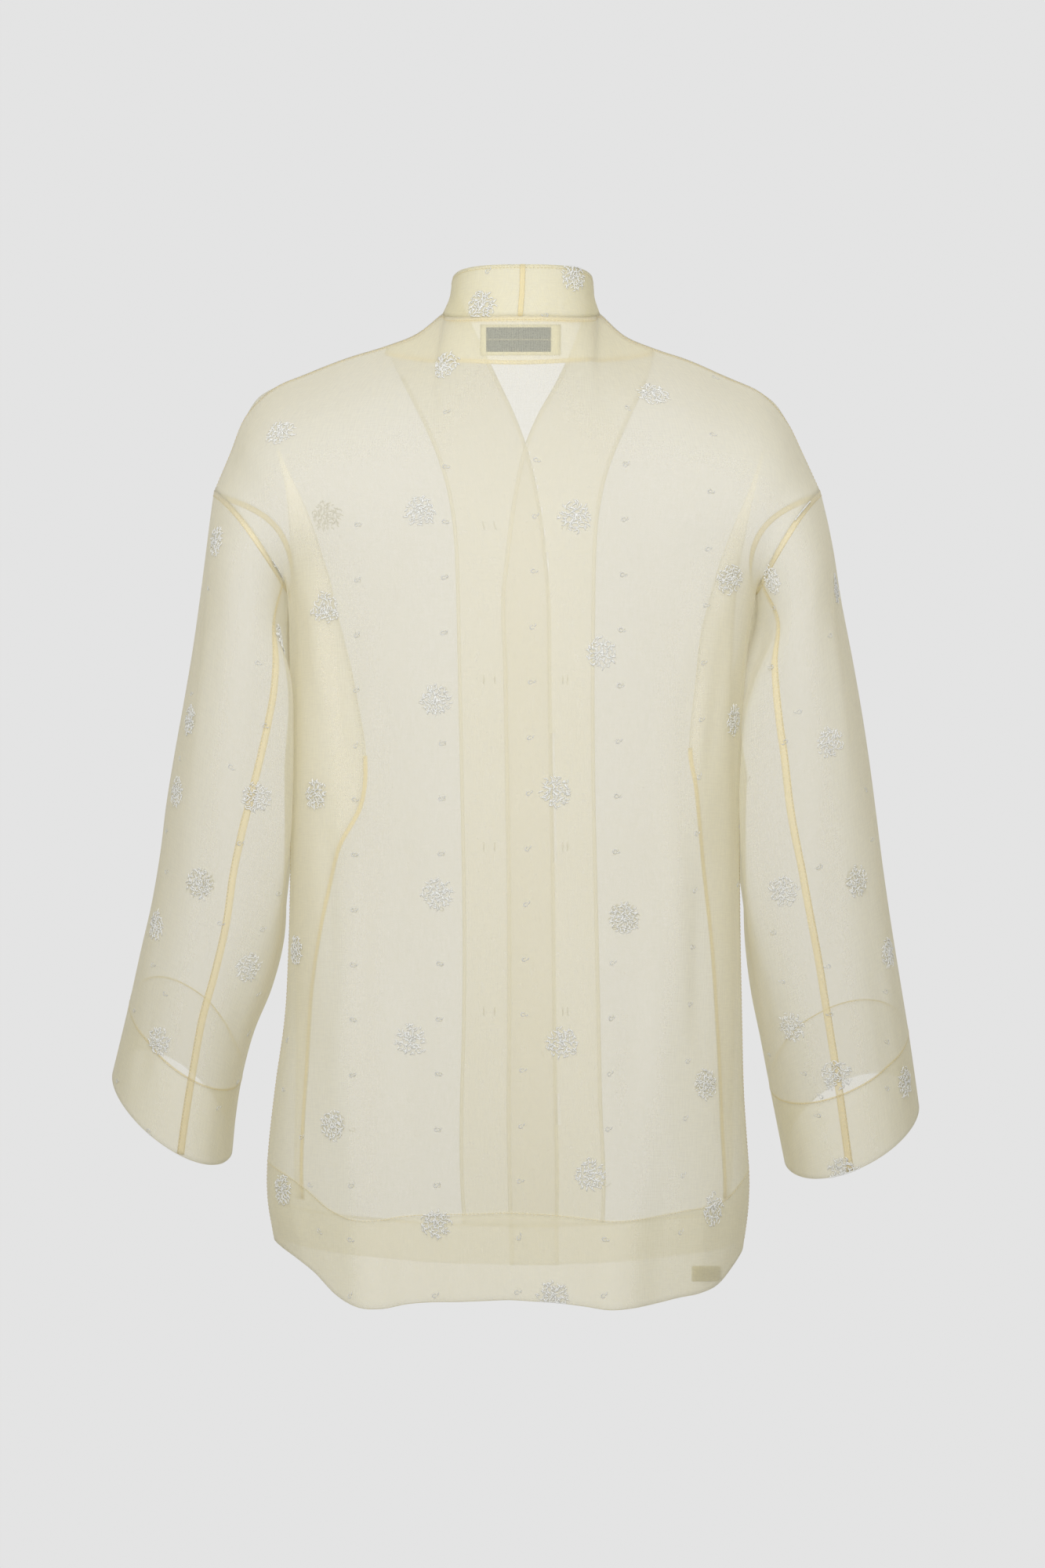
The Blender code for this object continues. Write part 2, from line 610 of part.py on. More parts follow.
def add_object(name, points, faces, wall, finish, hem=None, hem_wall=None):
    """Make one cloth piece: an open sheet with a wall on its inner side."""
    used = sorted({corner for face in faces for corner in face})
    renumber = {old: new for new, old in enumerate(used)}
    mesh = bpy.data.meshes.new(name)
    mesh.from_pydata(
        [tuple(map(float, points[old])) for old in used],
        [],
        [tuple(renumber[corner] for corner in face) for face in faces],
    )
    mesh.shade_smooth()
    mesh.materials.append(finish)
    piece = bpy.data.objects.new(name, mesh)
    bpy.context.scene.collection.objects.link(piece)
    solid = piece.modifiers.new("wall", "SOLIDIFY")
    solid.offset = -1.0
    solid.thickness = hem_wall or wall
    if hem:
        group = piece.vertex_groups.new(name="turn_up")
        group.add([renumber[old] for old in hem if old in renumber], 1.0, "REPLACE")
        solid.vertex_group = "turn_up"
        solid.thickness_vertex_group = wall / hem_wall
    return piece


def read_down(line, values, drop):
    """A value along a column of points, at a distance from its top."""
    run = lengths(line)
    return np.array([np.interp(drop, run, values[:, axis]) for axis in range(3)])


def laid_inside(grid, normals, columns, drops, depth):
    """Points inside a panel, read from its own points by fractional column and distance from the top."""
    found = np.empty(drops.shape + (3,))
    for place, column in enumerate(columns):
        low = min(int(column), grid.shape[1] - 2)
        share = column - low
        for step, drop in enumerate(drops[:, place]):
            on_panel = [read_down(grid[:, low + near], grid[:, low + near], drop) for near in (0, 1)]
            outward = [read_down(grid[:, low + near], normals[:, low + near], drop) for near in (0, 1)]
            point = on_panel[0] + (on_panel[1] - on_panel[0]) * share
            found[step, place] = point - (outward[0] + (outward[1] - outward[0]) * share) * depth
    return found


def make_back(finish):
    grid = pulled_back(back_grid(), "top", SHOULDER_GAP)
    grid = pulled_back(pulled_back(grid, "first", SEAM_GAP), "last", SEAM_GAP)
    sheet = Sheet().add(grid, "back")
    hem = [i for i, place in enumerate(sheet.places) if place[1] >= len(grid) - HEM_ROWS]
    add_object("back", sheet.points, sheet.faces, WALL, finish, hem, HEM_WALL)
    return grid, sheet.normals().reshape(grid.shape)


def make_back_neck_facing(grid, normals, finish):
    """The facing inside the back neck: full depth below the neck, running out on the shoulder seams."""
    centre = BACK_COLUMNS // 2
    reach = NECK_COLUMNS + FACING_SHOULDER_COLUMNS
    columns = np.arange(centre - reach, centre + reach + 1)
    edge = grid[0, centre, 2] - NECK_FACING_DEPTH
    end = grid[0, centre + reach, 2] - FACING_END_DEPTH
    past_centre = np.abs(grid[0, columns, 0] - grid[0, centre, 0])
    lower = edge + (end - edge) * (past_centre / past_centre[-1]) ** 2
    depth = [
        np.interp(-height, -grid[:, column, 2], lengths(grid[:, column])) - FACING_SEAM_GAP
        for column, height in zip(columns, lower)
    ]
    drops = FACING_SEAM_GAP + np.linspace(0.0, 1.0, FACING_ROWS + 1)[:, None] * np.array(depth)
    points = laid_inside(grid, normals, columns, drops, WALL + NECK_LAYER_GAP)
    sheet = Sheet().add(points, "facing")
    add_object("back_neck_facing", sheet.points, sheet.faces, WALL, finish)


def make_label(name, grid, normals, place, size, depth, finish):
    """A bare woven label that lies inside the back."""
    across = place[0] - np.linspace(-0.5, 0.5, LABEL_COLUMNS + 1) * size[0]
    row = np.argmin(np.abs(grid[:, BACK_COLUMNS // 2, 2] - place[1]))
    columns = np.interp(-across, -grid[row, :, 0], np.arange(grid.shape[1]))
    tops = []
    for column in columns:
        line = grid[:, int(round(column))]
        tops.append(np.interp(-place[1], -line[:, 2], lengths(line)))
    drops = np.array(tops) + np.linspace(0.0, 1.0, LABEL_ROWS + 1)[:, None] * size[1]
    points = laid_inside(grid, normals, columns, drops, depth)
    sheet = Sheet().add(points, "label")
    add_object(name, sheet.points, sheet.faces, WALL, finish)


def make_front(side, finish, facing_finish):
    name = "left" if side > 0 else "right"
    grid = front_grid(side)
    grid = pulled_back(grid, "last", SEAM_GAP)
    seam = pulled_back(grid, "top", SHOULDER_GAP)[0]
    grid[0, COLLAR_ROWS + 1:] = seam[COLLAR_ROWS + 1:]
    collar = pulled_back(collar_grid(side), "last", SEAM_GAP)
    collar[-1, 1:] = pulled_back(collar, "bottom", SEAM_GAP)[-1, 1:]
    flip = side < 0
    sheet = Sheet().add(grid, "front", flip=flip).add(collar, "collar", flip=flip).weld()
    hem = [
        i for i, place in enumerate(sheet.places)
        if place[0] == "front" and place[1] >= len(grid) - HEM_ROWS
    ]
    add_object("front_" + name, sheet.points, sheet.faces, WALL, finish, hem, HEM_WALL)
    make_front_facing("facing_" + name, sheet, len(grid) - HEM_ROWS, facing_finish)


def make_front_facing(name, sheet, rows, finish):
    """The inner layer of a front's band and of its collar half, from the front's own points."""
    points = np.array(sheet.points) - sheet.normals() * (WALL + LAYER_GAP)
    index = {place: number for number, place in enumerate(sheet.places)}
    for column in range(COLLAR_ROWS + 1, BAND_COLUMNS + 1):
        edge, below = index["front", 0, column], index["front", 1, column]
        step = points[below] - points[edge]
        points[edge] += step / np.linalg.norm(step) * FACING_SEAM_GAP
    keep = {
        number for number, (part, row, column) in enumerate(sheet.places)
        if part == "collar" or (row < rows and column <= BAND_COLUMNS)
    }
    faces = [face for face in sheet.faces if keep.issuperset(face)]
    add_object(name, points, faces, WALL, finish)


def main():
    clear_scene()
    cloth = material("organza", CLOTH_COLOUR, CLOTH_ROUGHNESS)
    facing = material("organza_double", FACING_COLOUR, CLOTH_ROUGHNESS)
    label = material("label_weave", LABEL_COLOUR, LABEL_ROUGHNESS)
    grid, normals = make_back(cloth)
    make_back_neck_facing(grid, normals, facing)
    under_facing = 2 * WALL + NECK_LAYER_GAP + LAYER_GAP
    make_label("neck_label", grid, normals, LABEL_PLACE, LABEL_SIZE, under_facing, label)
    make_label("side_label", grid, normals, SIDE_LABEL_PLACE, SIDE_LABEL_SIZE, HEM_WALL + LAYER_GAP, label)
    for side in (1.0, -1.0):
        make_front(side, cloth, facing)
        name = "sleeve_left" if side > 0 else "sleeve_right"
        grid = pulled_back(sleeve_grid(side), "top", ARMHOLE_GAP)
        sheet = Sheet().add(grid, "sleeve", closed=True, flip=side < 0)
        hem = [i for i, place in enumerate(sheet.places) if place[1] >= len(grid) - SLEEVE_HEM_ROWS]
        add_object(name, sheet.points, sheet.faces, WALL, cloth, hem, HEM_WALL)


main()
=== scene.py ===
# %% [markdown]
# # A kebaya of sheer silk organza
# A kebaya is an open jacket worn over a wrapped skirt. This one is seen from behind, standing hollow
# as if someone wore it. The CAD frame gives the solid form of each cut piece. This lesson replaces
# every solid with thin see-through cloth, then sews on the seams, stitches and silver embroidery.

import math

import bmesh
import bpy
import numpy as np
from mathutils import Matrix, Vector


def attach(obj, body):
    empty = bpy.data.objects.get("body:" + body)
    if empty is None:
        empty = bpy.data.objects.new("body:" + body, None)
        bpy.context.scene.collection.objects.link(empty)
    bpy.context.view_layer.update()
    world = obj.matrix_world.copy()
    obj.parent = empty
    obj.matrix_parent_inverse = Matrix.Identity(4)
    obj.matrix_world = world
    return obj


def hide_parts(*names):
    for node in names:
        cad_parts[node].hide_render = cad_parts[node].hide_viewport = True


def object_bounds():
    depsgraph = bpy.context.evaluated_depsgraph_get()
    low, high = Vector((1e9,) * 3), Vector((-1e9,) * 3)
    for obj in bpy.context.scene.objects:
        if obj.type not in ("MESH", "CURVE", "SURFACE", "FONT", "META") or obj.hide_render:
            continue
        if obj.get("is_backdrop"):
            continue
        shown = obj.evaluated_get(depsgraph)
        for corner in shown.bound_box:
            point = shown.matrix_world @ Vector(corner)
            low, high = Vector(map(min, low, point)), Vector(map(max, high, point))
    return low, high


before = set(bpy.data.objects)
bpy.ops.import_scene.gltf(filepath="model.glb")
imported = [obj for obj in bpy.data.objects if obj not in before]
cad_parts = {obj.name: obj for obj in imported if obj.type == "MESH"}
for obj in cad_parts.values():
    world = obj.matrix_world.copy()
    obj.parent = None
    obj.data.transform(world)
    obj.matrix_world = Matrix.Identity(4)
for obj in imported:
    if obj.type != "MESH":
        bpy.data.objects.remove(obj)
CAD_BOX = [list(corner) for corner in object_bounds()]
print("CAD nodes:", ", ".join(sorted(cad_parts)))

# %% [markdown]
# ## The camera and the picture plane
# The photograph looks straight at the back of the jacket, level with its middle. One pixel of it is
# 0.6 mm at the wearer's middle plane. A long lens set far back keeps near and far cloth almost the
# same size. The same numbers let embroidery be set on the cloth by the pixel where it is seen.

# %% Camera
CAMERA_X = 0.0009
CAMERA_DISTANCE = 3.2
CAMERA_HEIGHT = -0.3582
PIXEL = 0.0006
PICTURE_SIZE = (1333, 2000)
SENSOR = 36.0
LENS = SENSOR * CAMERA_DISTANCE / (PICTURE_SIZE[1] * PIXEL)
ZERO_PIXEL = (668.0, 403.0)     # where the picture shows the origin of the frame

camera_data = bpy.data.cameras.new("camera")
camera_data.sensor_width = SENSOR
camera_data.lens = LENS
camera = bpy.data.objects.new("camera", camera_data)
bpy.context.scene.collection.objects.link(camera)
camera.location = (CAMERA_X, CAMERA_DISTANCE, CAMERA_HEIGHT)
camera.rotation_euler = (math.pi / 2, 0.0, math.pi)
bpy.context.scene.camera = camera


def seen_at(points):
    """Where the camera sees points, in pixels of the photograph."""
    scale = CAMERA_DISTANCE / (CAMERA_DISTANCE - points[..., 1])
    across = CAMERA_X + (points[..., 0] - CAMERA_X) * scale
    height = CAMERA_HEIGHT + (points[..., 2] - CAMERA_HEIGHT) * scale
    return np.stack([ZERO_PIXEL[0] - across / PIXEL, ZERO_PIXEL[1] - height / PIXEL], axis=-1)


print(f"lens {LENS:.1f} mm, the origin is seen at {seen_at(np.zeros(3))}")

# %% [markdown]
# ## Smooth curves
# Cloth that is worn has no corners, so every form here is a curve through a few measured points.
# These helpers read such a curve, measure lengths along it, and space points evenly.

# %% Curve helpers
SAMPLES = 400


def table(names, rows):
    """Name the columns of a short table."""
    return {name: np.array(column) for name, column in zip(names, zip(*rows))}


def ease(value):
    """Run smoothly from 0 to 1."""
    value = np.clip(value, 0.0, 1.0)
    return value * value * (3.0 - 2.0 * value)


def curve_at(knots, values, place):
    """Read a smooth curve through (knots, values); values may be rows of a whole grid."""
    slopes = np.gradient(values, knots, axis=0)
    index = np.clip(np.searchsorted(knots, place) - 1, 0, len(knots) - 2)
    span = knots[index + 1] - knots[index]
    t = np.clip((place - knots[index]) / span, 0.0, 1.0)
    more = (1,) * (values.ndim - 1)
    t, span = t.reshape(t.shape + more), span.reshape(span.shape + more)
    blend = t * t * (3.0 - 2.0 * t)
    start = values[index] * (1.0 - blend) + slopes[index] * span * t * (1.0 - t) ** 2
    return start + values[index + 1] * blend - slopes[index + 1] * span * t * t * (1.0 - t)


def lengths(points):
    """Distance of each point along its line."""
    steps = np.linalg.norm(np.diff(points, axis=0), axis=1)
    return np.concatenate(([0.0], np.cumsum(steps)))


def at_lengths(points, places):
    """Points of a line at given distances along it."""
    run = lengths(points)
    return np.stack([np.interp(places, run, points[:, axis]) for axis in range(3)], axis=1)


def respaced(points, count):
    """The line again, as evenly spaced points."""
    return at_lengths(points, np.linspace(0.0, lengths(points)[-1], count))


quarter = curve_at(np.arange(3.0), np.array([0.0, 1.0, 0.0]), np.array(0.5))
print("a curve through 0, 1, 0 at its quarter:", quarter)

# %% [markdown]
# ## The body's form
# The jacket hangs from the shoulders as a soft tube. A short table gives its sections from shoulder
# to hem, and a rounded ellipse joins them. This repeats the numbers that the CAD solids were lofted
# through, so the cloth lies where its solid lies.

# %% Sections of the body
ROUNDNESS = 0.88             # 1 is an ellipse, less is squarer
UNDERARM_HEIGHT = -0.209
BODY_HEM = 0.063             # depth of the body's turn-up
HEM_HEIGHT = -0.740
HEM_STEP = 0.0015

# Heights, how far out the side seams are, the depth before and behind, and where the middles hang.
BODY = table(("height", "left", "right", "front", "back", "middle", "front_middle"), (
    (-0.760, 0.1870, 0.1650, 0.1150, 0.1130, 0.0110, -0.0080),
    (-0.712, 0.1900, 0.1680, 0.1150, 0.1120, 0.0112, -0.0078),
    (-0.672, 0.1960, 0.1725, 0.1145, 0.1110, 0.0112, -0.0075),
    (-0.610, 0.1925, 0.1690, 0.1140, 0.1080, 0.0105, -0.0065),
    (-0.540, 0.1830, 0.1670, 0.1130, 0.1020, 0.0085, -0.0052),
    (-0.450, 0.1790, 0.1655, 0.1140, 0.0970, 0.0070, -0.0040),
    (-0.330, 0.1785, 0.1655, 0.1190, 0.0970, 0.0065, -0.0020),
    (-0.260, 0.1790, 0.1690, 0.1190, 0.0975, 0.0062, -0.0012),
    (-0.209, 0.1800, 0.1780, 0.1150, 0.0985, 0.0060, -0.0010),
    (-0.134, 0.1790, 0.1690, 0.1080, 0.0960, 0.0050, -0.0015),
    (-0.090, 0.1790, 0.1690, 0.1050, 0.0940, 0.0060, -0.0015),
    (-0.046, 0.1790, 0.1690, 0.1020, 0.0920, 0.0080, -0.0040),
    (0.000, 0.1750, 0.1710, 0.1000, 0.0900, 0.0020, -0.0020),
    (0.040, 0.1750, 0.1710, 0.1000, 0.0900, 0.0005, -0.0010),
))


def rounded(value):
    return np.sign(value) * np.abs(value) ** ROUNDNESS


def body_at(column, height):
    return curve_at(BODY["height"], BODY[column], height)


def middle_at(height):
    return body_at("middle", height)


def body_point(turn, height, side):
    """Point of the body's surface: turn 0 is the centre back, 0.5 a side seam, 1 the centre front."""
    turn = np.asarray(turn, dtype=float)
    height = np.broadcast_to(np.asarray(height, dtype=float), turn.shape)
    angle = turn * math.pi
    seam = body_at("left", height) if side > 0 else -body_at("right", height)
    middle = middle_at(height)
    depth = np.where(np.cos(angle) > 0.0, body_at("back", height), body_at("front", height))
    across = middle + (seam - middle) * rounded(np.sin(angle))
    return np.stack([across, depth * rounded(np.cos(angle)), height], axis=-1)


print("back of the body at the underarm:", body_point(0.0, UNDERARM_HEIGHT, 1.0))

# %% [markdown]
# ## Hanging folds
# Crisp organza falls in a few long shallow folds. Each fold is a ridge or hollow that widens out of
# nothing at its top and runs to the hem, pushed straight out of the body's surface.

# %% Folds
SEAM_CLEAR = (0.010, 0.030)      # where a fold begins beside the side seams, and how soon it is full
FOLD_START = 1.5

# The face it is on (1 behind, -1 in front), its ends in x and z, its width and its depth.
FOLDS = (
    (1, 0.160, -0.215, 0.118, -0.760, 0.026, 0.0120),
    (1, 0.100, -0.330, 0.078, -0.760, 0.018, -0.0050),
    (1, -0.172, -0.100, -0.136, -0.330, 0.015, 0.0045),
    (1, -0.136, -0.330, -0.160, -0.760, 0.020, -0.0060),
    (1, -0.040, -0.430, -0.074, -0.760, 0.030, 0.0110),
    (1, 0.010, -0.480, 0.012, -0.760, 0.026, -0.0060),
    (-1, 0.120, -0.240, 0.105, -0.760, 0.026, 0.0080),
    (-1, -0.118, -0.240, -0.112, -0.760, 0.026, 0.0080),
    (-1, 0.066, -0.450, 0.062, -0.760, 0.020, -0.0040),
)


def folds_added(points):
    """Push the hanging folds out of the body's surface."""
    out = points.copy()
    face = np.sign(points[..., 1])
    clear = ease((np.abs(points[..., 1]) - SEAM_CLEAR[0]) / SEAM_CLEAR[1])
    for fold_face, x_top, z_top, x_end, z_end, width, depth in FOLDS:
        along = (z_top - points[..., 2]) / (z_top - z_end)
        middle = x_top + (x_end - x_top) * along
        across = (points[..., 0] - middle) / width
        swell = ease(along * FOLD_START) * np.exp(-across * across)
        out[..., 1] += face * (face == fold_face) * depth * swell * clear
    return out


print(len(FOLDS), "hanging folds")

# %% [markdown]
# ## Shoulder seams, collar and armholes
# The shoulders are dropped: the seam runs well past the shoulder bone before the sleeve begins. The
# collar stands in rings round the back of the neck, a little narrower at its top. The armhole is a
# slanted ring, hollowed towards the body, that both the panels and the sleeve share.

# %% Shoulder, collar and armhole lines
FACING_WIDTH = 0.075         # the double band along each front edge
COLLAR_BASE_HALF = 0.0600
COLLAR_BASE_BACK = 0.0580
COLLAR_BASE_HEIGHT = -0.0065
COLLAR_TOP_HALF = 0.0540
COLLAR_TOP_BACK = 0.0535
COLLAR_TOP_HEIGHT = 0.033
NECK_POINT_HEIGHT = 0.002
COLLAR_SIDE_HEIGHT = 0.026
ARMHOLE_TOP_HALF = 0.2315
ARMHOLE_TOP_HEIGHT = -0.134
ARMHOLE_BACK = 0.080
ARMHOLE_FRONT = 0.074
ARMHOLE_SCOOP_BACK = 0.006
ARMHOLE_SCOOP_FRONT = 0.022

SHOULDER = table(("half_width", "height"), (
    (COLLAR_BASE_HALF, NECK_POINT_HEIGHT),
    (0.0725, -0.0100),
    (0.0978, -0.0220),
    (0.1338, -0.0340),
    (0.1650, -0.0475),
    (0.1970, -0.0640),
    (0.2165, -0.1000),
    (ARMHOLE_TOP_HALF, ARMHOLE_TOP_HEIGHT),
))


def shoulder_line(side, count):
    """The shoulder seam from the neck point outwards."""
    knots = lengths(np.stack([SHOULDER["half_width"], SHOULDER["height"]], axis=1))
    place = np.linspace(0.0, knots[-1], SAMPLES)
    half = curve_at(knots, SHOULDER["half_width"], place)
    height = curve_at(knots, SHOULDER["height"], place)
    line = np.stack([side * half + middle_at(height), np.zeros_like(half), height], axis=1)
    return respaced(line, count)


def shoulder_points(side, facing_columns, columns):
    """Columns' ends on the shoulder seam after the neck point, one of them at the facings' edge."""
    line = shoulder_line(side, SAMPLES)
    facing_end = FACING_WIDTH - (COLLAR_SIDE_HEIGHT - NECK_POINT_HEIGHT)
    inner = np.linspace(0.0, facing_end, facing_columns + 1)[1:]
    outer = np.linspace(facing_end, lengths(line)[-1], columns - facing_columns + 1)[1:]
    return at_lengths(line, np.concatenate((inner, outer)))


def collar_ring(side, share, step):
    """A ring of the collar: share 0 is the centre back, pi/2 the side; step 0 is its top, 1 its foot."""
    half = COLLAR_TOP_HALF + (COLLAR_BASE_HALF - COLLAR_TOP_HALF) * step ** 2
    back = COLLAR_TOP_BACK + (COLLAR_BASE_BACK - COLLAR_TOP_BACK) * step ** 2
    side_height = COLLAR_SIDE_HEIGHT + (NECK_POINT_HEIGHT - COLLAR_SIDE_HEIGHT) * step
    back_height = COLLAR_TOP_HEIGHT + (COLLAR_BASE_HEIGHT - COLLAR_TOP_HEIGHT) * step
    height = back_height + (side_height - back_height) * (1.0 - np.cos(share)) ** 2
    across = middle_at(height) + side * half * rounded(np.sin(share))
    return np.stack([across, back * rounded(np.cos(share)), height], axis=-1)


def armhole_point(angle, side):
    """Point of the armhole seam: angle 0 is the shoulder point, pi the underarm, pi/2 the back."""
    angle = np.asarray(angle, dtype=float)
    top = np.array([ARMHOLE_TOP_HALF, 0.0, ARMHOLE_TOP_HEIGHT])
    seam = body_point(0.5, UNDERARM_HEIGHT, side)
    bottom = np.array([abs(seam[0] - middle_at(UNDERARM_HEIGHT)), 0.0, UNDERARM_HEIGHT])
    middle = (top + bottom) / 2.0
    towards_top = (top - bottom) / 2.0
    inward = np.array([-towards_top[2], 0.0, towards_top[0]]) / np.linalg.norm(towards_top)
    behind = np.sin(angle) > 0.0
    reach = np.where(behind, ARMHOLE_BACK, ARMHOLE_FRONT) * np.sin(angle)
    scoop = np.where(behind, ARMHOLE_SCOOP_BACK, ARMHOLE_SCOOP_FRONT) * np.sin(angle) ** 2
    point = middle + np.cos(angle)[..., None] * towards_top + scoop[..., None] * inward
    point[..., 1] = reach
    point[..., 0] = side * point[..., 0] + middle_at(point[..., 2])
    return point


print("underarm point of the left armhole:", armhole_point(math.pi, 1.0))

# %% [markdown]
# ## From edges to a panel
# A cut piece is known best by its edges. The yoke of each panel is stretched between its neck and
# shoulder, underarm line, centre and armhole, and the rows below it are read from the body's sections.

# %% Stretch a panel between its edges
TOP_FADE = 2.5
BOTTOM_FADE = 2.0
YOKE_ROWS = 11
BODY_ROWS = 9
HEM_ROWS = 3
SETTLED_ROWS = YOKE_ROWS + 3     # rows that are evened out, with the underarm line among them
SETTLING_PASSES = 3

HEM_LEFT = table(("turn", "height"), (
    (0.000, -0.7395), (0.100, -0.7415), (0.200, -0.7455), (0.235, -0.7405), (0.286, -0.7250),
    (0.348, -0.7135), (0.420, -0.7070), (0.500, -0.7045), (0.650, -0.7180), (0.850, -0.7340),
    (1.000, -0.7385), (1.200, -0.7385),
))
HEM_RIGHT = table(("turn", "height"), (
    (0.000, -0.7395), (0.060, -0.7415), (0.124, -0.7455), (0.175, -0.7440), (0.235, -0.7405),
    (0.332, -0.7350), (0.400, -0.7215), (0.500, -0.7090), (0.650, -0.7210), (0.850, -0.7350),
    (1.000, -0.7385), (1.200, -0.7385),
))


def stretched(top, bottom, near, far):
    """Stretch a grid between four edges: rows run down, columns run from the near edge outwards."""
    across = (lengths(top) / lengths(top)[-1] + lengths(bottom) / lengths(bottom)[-1]) / 2.0
    down = (lengths(near) / lengths(near)[-1] + lengths(far) / lengths(far)[-1]) / 2.0
    u = ease(across)[None, :, None]
    v = down[:, None, None]
    top_pull = np.concatenate((1 - v, (1 - v) ** TOP_FADE, 1 - v), axis=2)
    bottom_pull = np.concatenate((v, v ** BOTTOM_FADE, v), axis=2)
    off_top = top[None] - ((1 - u) * top[0] + u * top[-1])
    off_bottom = bottom[None] - ((1 - u) * bottom[0] + u * bottom[-1])
    ruled_across = (1 - u) * near[:, None] + u * far[:, None]
    return ruled_across + top_pull * off_top + bottom_pull * off_bottom


def settled(grid):
    """Even out the rows near the underarm line, so that no ridge runs across the panel."""
    grid = grid.copy()
    for _ in range(SETTLING_PASSES):
        above, below = grid[0:SETTLED_ROWS - 1, 1:-1], grid[2:SETTLED_ROWS + 1, 1:-1]
        grid[1:SETTLED_ROWS, 1:-1] = grid[1:SETTLED_ROWS, 1:-1] / 2 + (above + below) / 4
    return grid


def hem_height(turn, side):
    line = HEM_LEFT if side > 0 else HEM_RIGHT
    return curve_at(line["turn"], line["height"], np.asarray(turn, dtype=float))


def body_levels():
    """Share of the way from underarm to hem of each row, and which rows are in the turn-up."""
    drop = UNDERARM_HEIGHT - HEM_HEIGHT
    hem_top = 1.0 - BODY_HEM / drop
    above = np.linspace(0.0, hem_top - HEM_STEP / drop, BODY_ROWS)
    inside = np.linspace(hem_top, 1.0, HEM_ROWS)
    return np.concatenate((above, inside))


def lower_rows(turns, hem_turns, side):
    """Rows of a body panel below the underarm; the columns' turns drift from one list to the other."""
    rows = []
    for level in body_levels()[1:]:
        row_turns = turns + (hem_turns - turns) * level
        height = UNDERARM_HEIGHT + (hem_height(row_turns, side) - UNDERARM_HEIGHT) * level
        rows.append(body_point(row_turns, height, side))
    return np.array(rows)


def even_turns(start, end, count, height, side):
    """Turns that space points evenly along the body's surface at one height."""
    fine = np.linspace(start, end, SAMPLES)
    run = lengths(body_point(fine, height, side))
    return np.interp(np.linspace(0.0, run[-1], count), run, fine)


print("rows of a body panel from underarm to hem:", np.round(body_levels(), 3))

# %% [markdown]
# ## The back
# The back is one piece from shoulder to shoulder. It is worked out for one half at a time, because
# the wearer's left side hangs a little wider than the right one.

# %% Coarse points of the back
BACK_COLUMNS = 24
NECK_COLUMNS = 4
FACING_SHOULDER_COLUMNS = 2

CENTRE_BACK = table(("height", "depth"), (
    (COLLAR_BASE_HEIGHT, COLLAR_BASE_BACK),
    (-0.030, 0.0690),
    (-0.080, 0.0850),
    (-0.140, 0.0950),
    (UNDERARM_HEIGHT, 0.0985),
))


def half_back(side):
    """Half of the back, from the centre to the armhole and side seam."""
    half_columns = BACK_COLUMNS // 2
    neck = collar_ring(side, np.linspace(0.0, math.pi / 2.0, NECK_COLUMNS + 1), 1.0)
    shoulder = shoulder_points(side, FACING_SHOULDER_COLUMNS, half_columns - NECK_COLUMNS)
    top = np.concatenate((neck, shoulder))
    turns = even_turns(0.0, 0.5, half_columns + 1, UNDERARM_HEIGHT, side)
    bottom = body_point(turns, UNDERARM_HEIGHT, side)
    heights = np.linspace(COLLAR_BASE_HEIGHT, UNDERARM_HEIGHT, YOKE_ROWS)
    depth = curve_at(-CENTRE_BACK["height"], CENTRE_BACK["depth"], -heights)
    near = np.stack([middle_at(heights), depth, heights], axis=1)
    far = armhole_point(np.linspace(0.0, math.pi, YOKE_ROWS), side)
    yoke = stretched(top, bottom, near, far)
    return np.concatenate((yoke, lower_rows(turns, turns, side)))


def back_grid():
    left = half_back(1.0)
    right = half_back(-1.0)
    grid = np.concatenate((left[:, ::-1], right[:, 1:]), axis=1)
    return folds_added(settled(grid))


print("coarse points of the back:", back_grid().shape)

# %% [markdown]
# ## The fronts and their collar halves
# Each front is cut in one with half of the stand collar. Its free edge runs from the collar down the
# V and then laps over the centre, and the left front lies on top of the right one.

# %% Coarse points of a front
LAP_LEFT = 0.0200
LAP_RIGHT = 0.0185
LAP_DEPTH = 0.0055
LAP_EASE = 0.060
LAP_MARGIN = 0.010
LAP_TOP = (-0.035, 0.045)
LAP_TURN = 1.3                   # a turn well past the front edges
BAND_COLUMNS = 4
COLLAR_ROWS = 2
FRONT_COLUMNS = 7
COLLAR_COLUMNS = 6

FRONT_EDGE = table(("reach", "depth", "height"), (
    (-COLLAR_TOP_HALF, 0.0000, COLLAR_SIDE_HEIGHT),
    (-0.0525, 0.0250, 0.0175),
    (-0.0466, 0.0480, 0.0055),
    (-0.0307, 0.0720, -0.0280),
    (0.0000, 0.0960, -0.0894),
    (0.0110, 0.1070, -0.1400),
    (LAP_RIGHT, 0.1150, UNDERARM_HEIGHT),
))


def front_edge(side, count):
    """The free edge of a front, from the collar's side to the underarm line."""
    lap = LAP_LEFT if side > 0 else LAP_RIGHT
    reach, height = FRONT_EDGE["reach"], FRONT_EDGE["height"]
    reach = np.where(reach > 0, reach * lap / LAP_RIGHT, reach)
    middle = body_at("front_middle", height)
    middle[0] = middle_at(height[0])
    line = np.stack([middle - side * reach, -FRONT_EDGE["depth"], height], axis=1)
    knots = lengths(line)
    place = np.linspace(0.0, knots[-1], SAMPLES)
    return respaced(curve_at(knots, line, place), count)


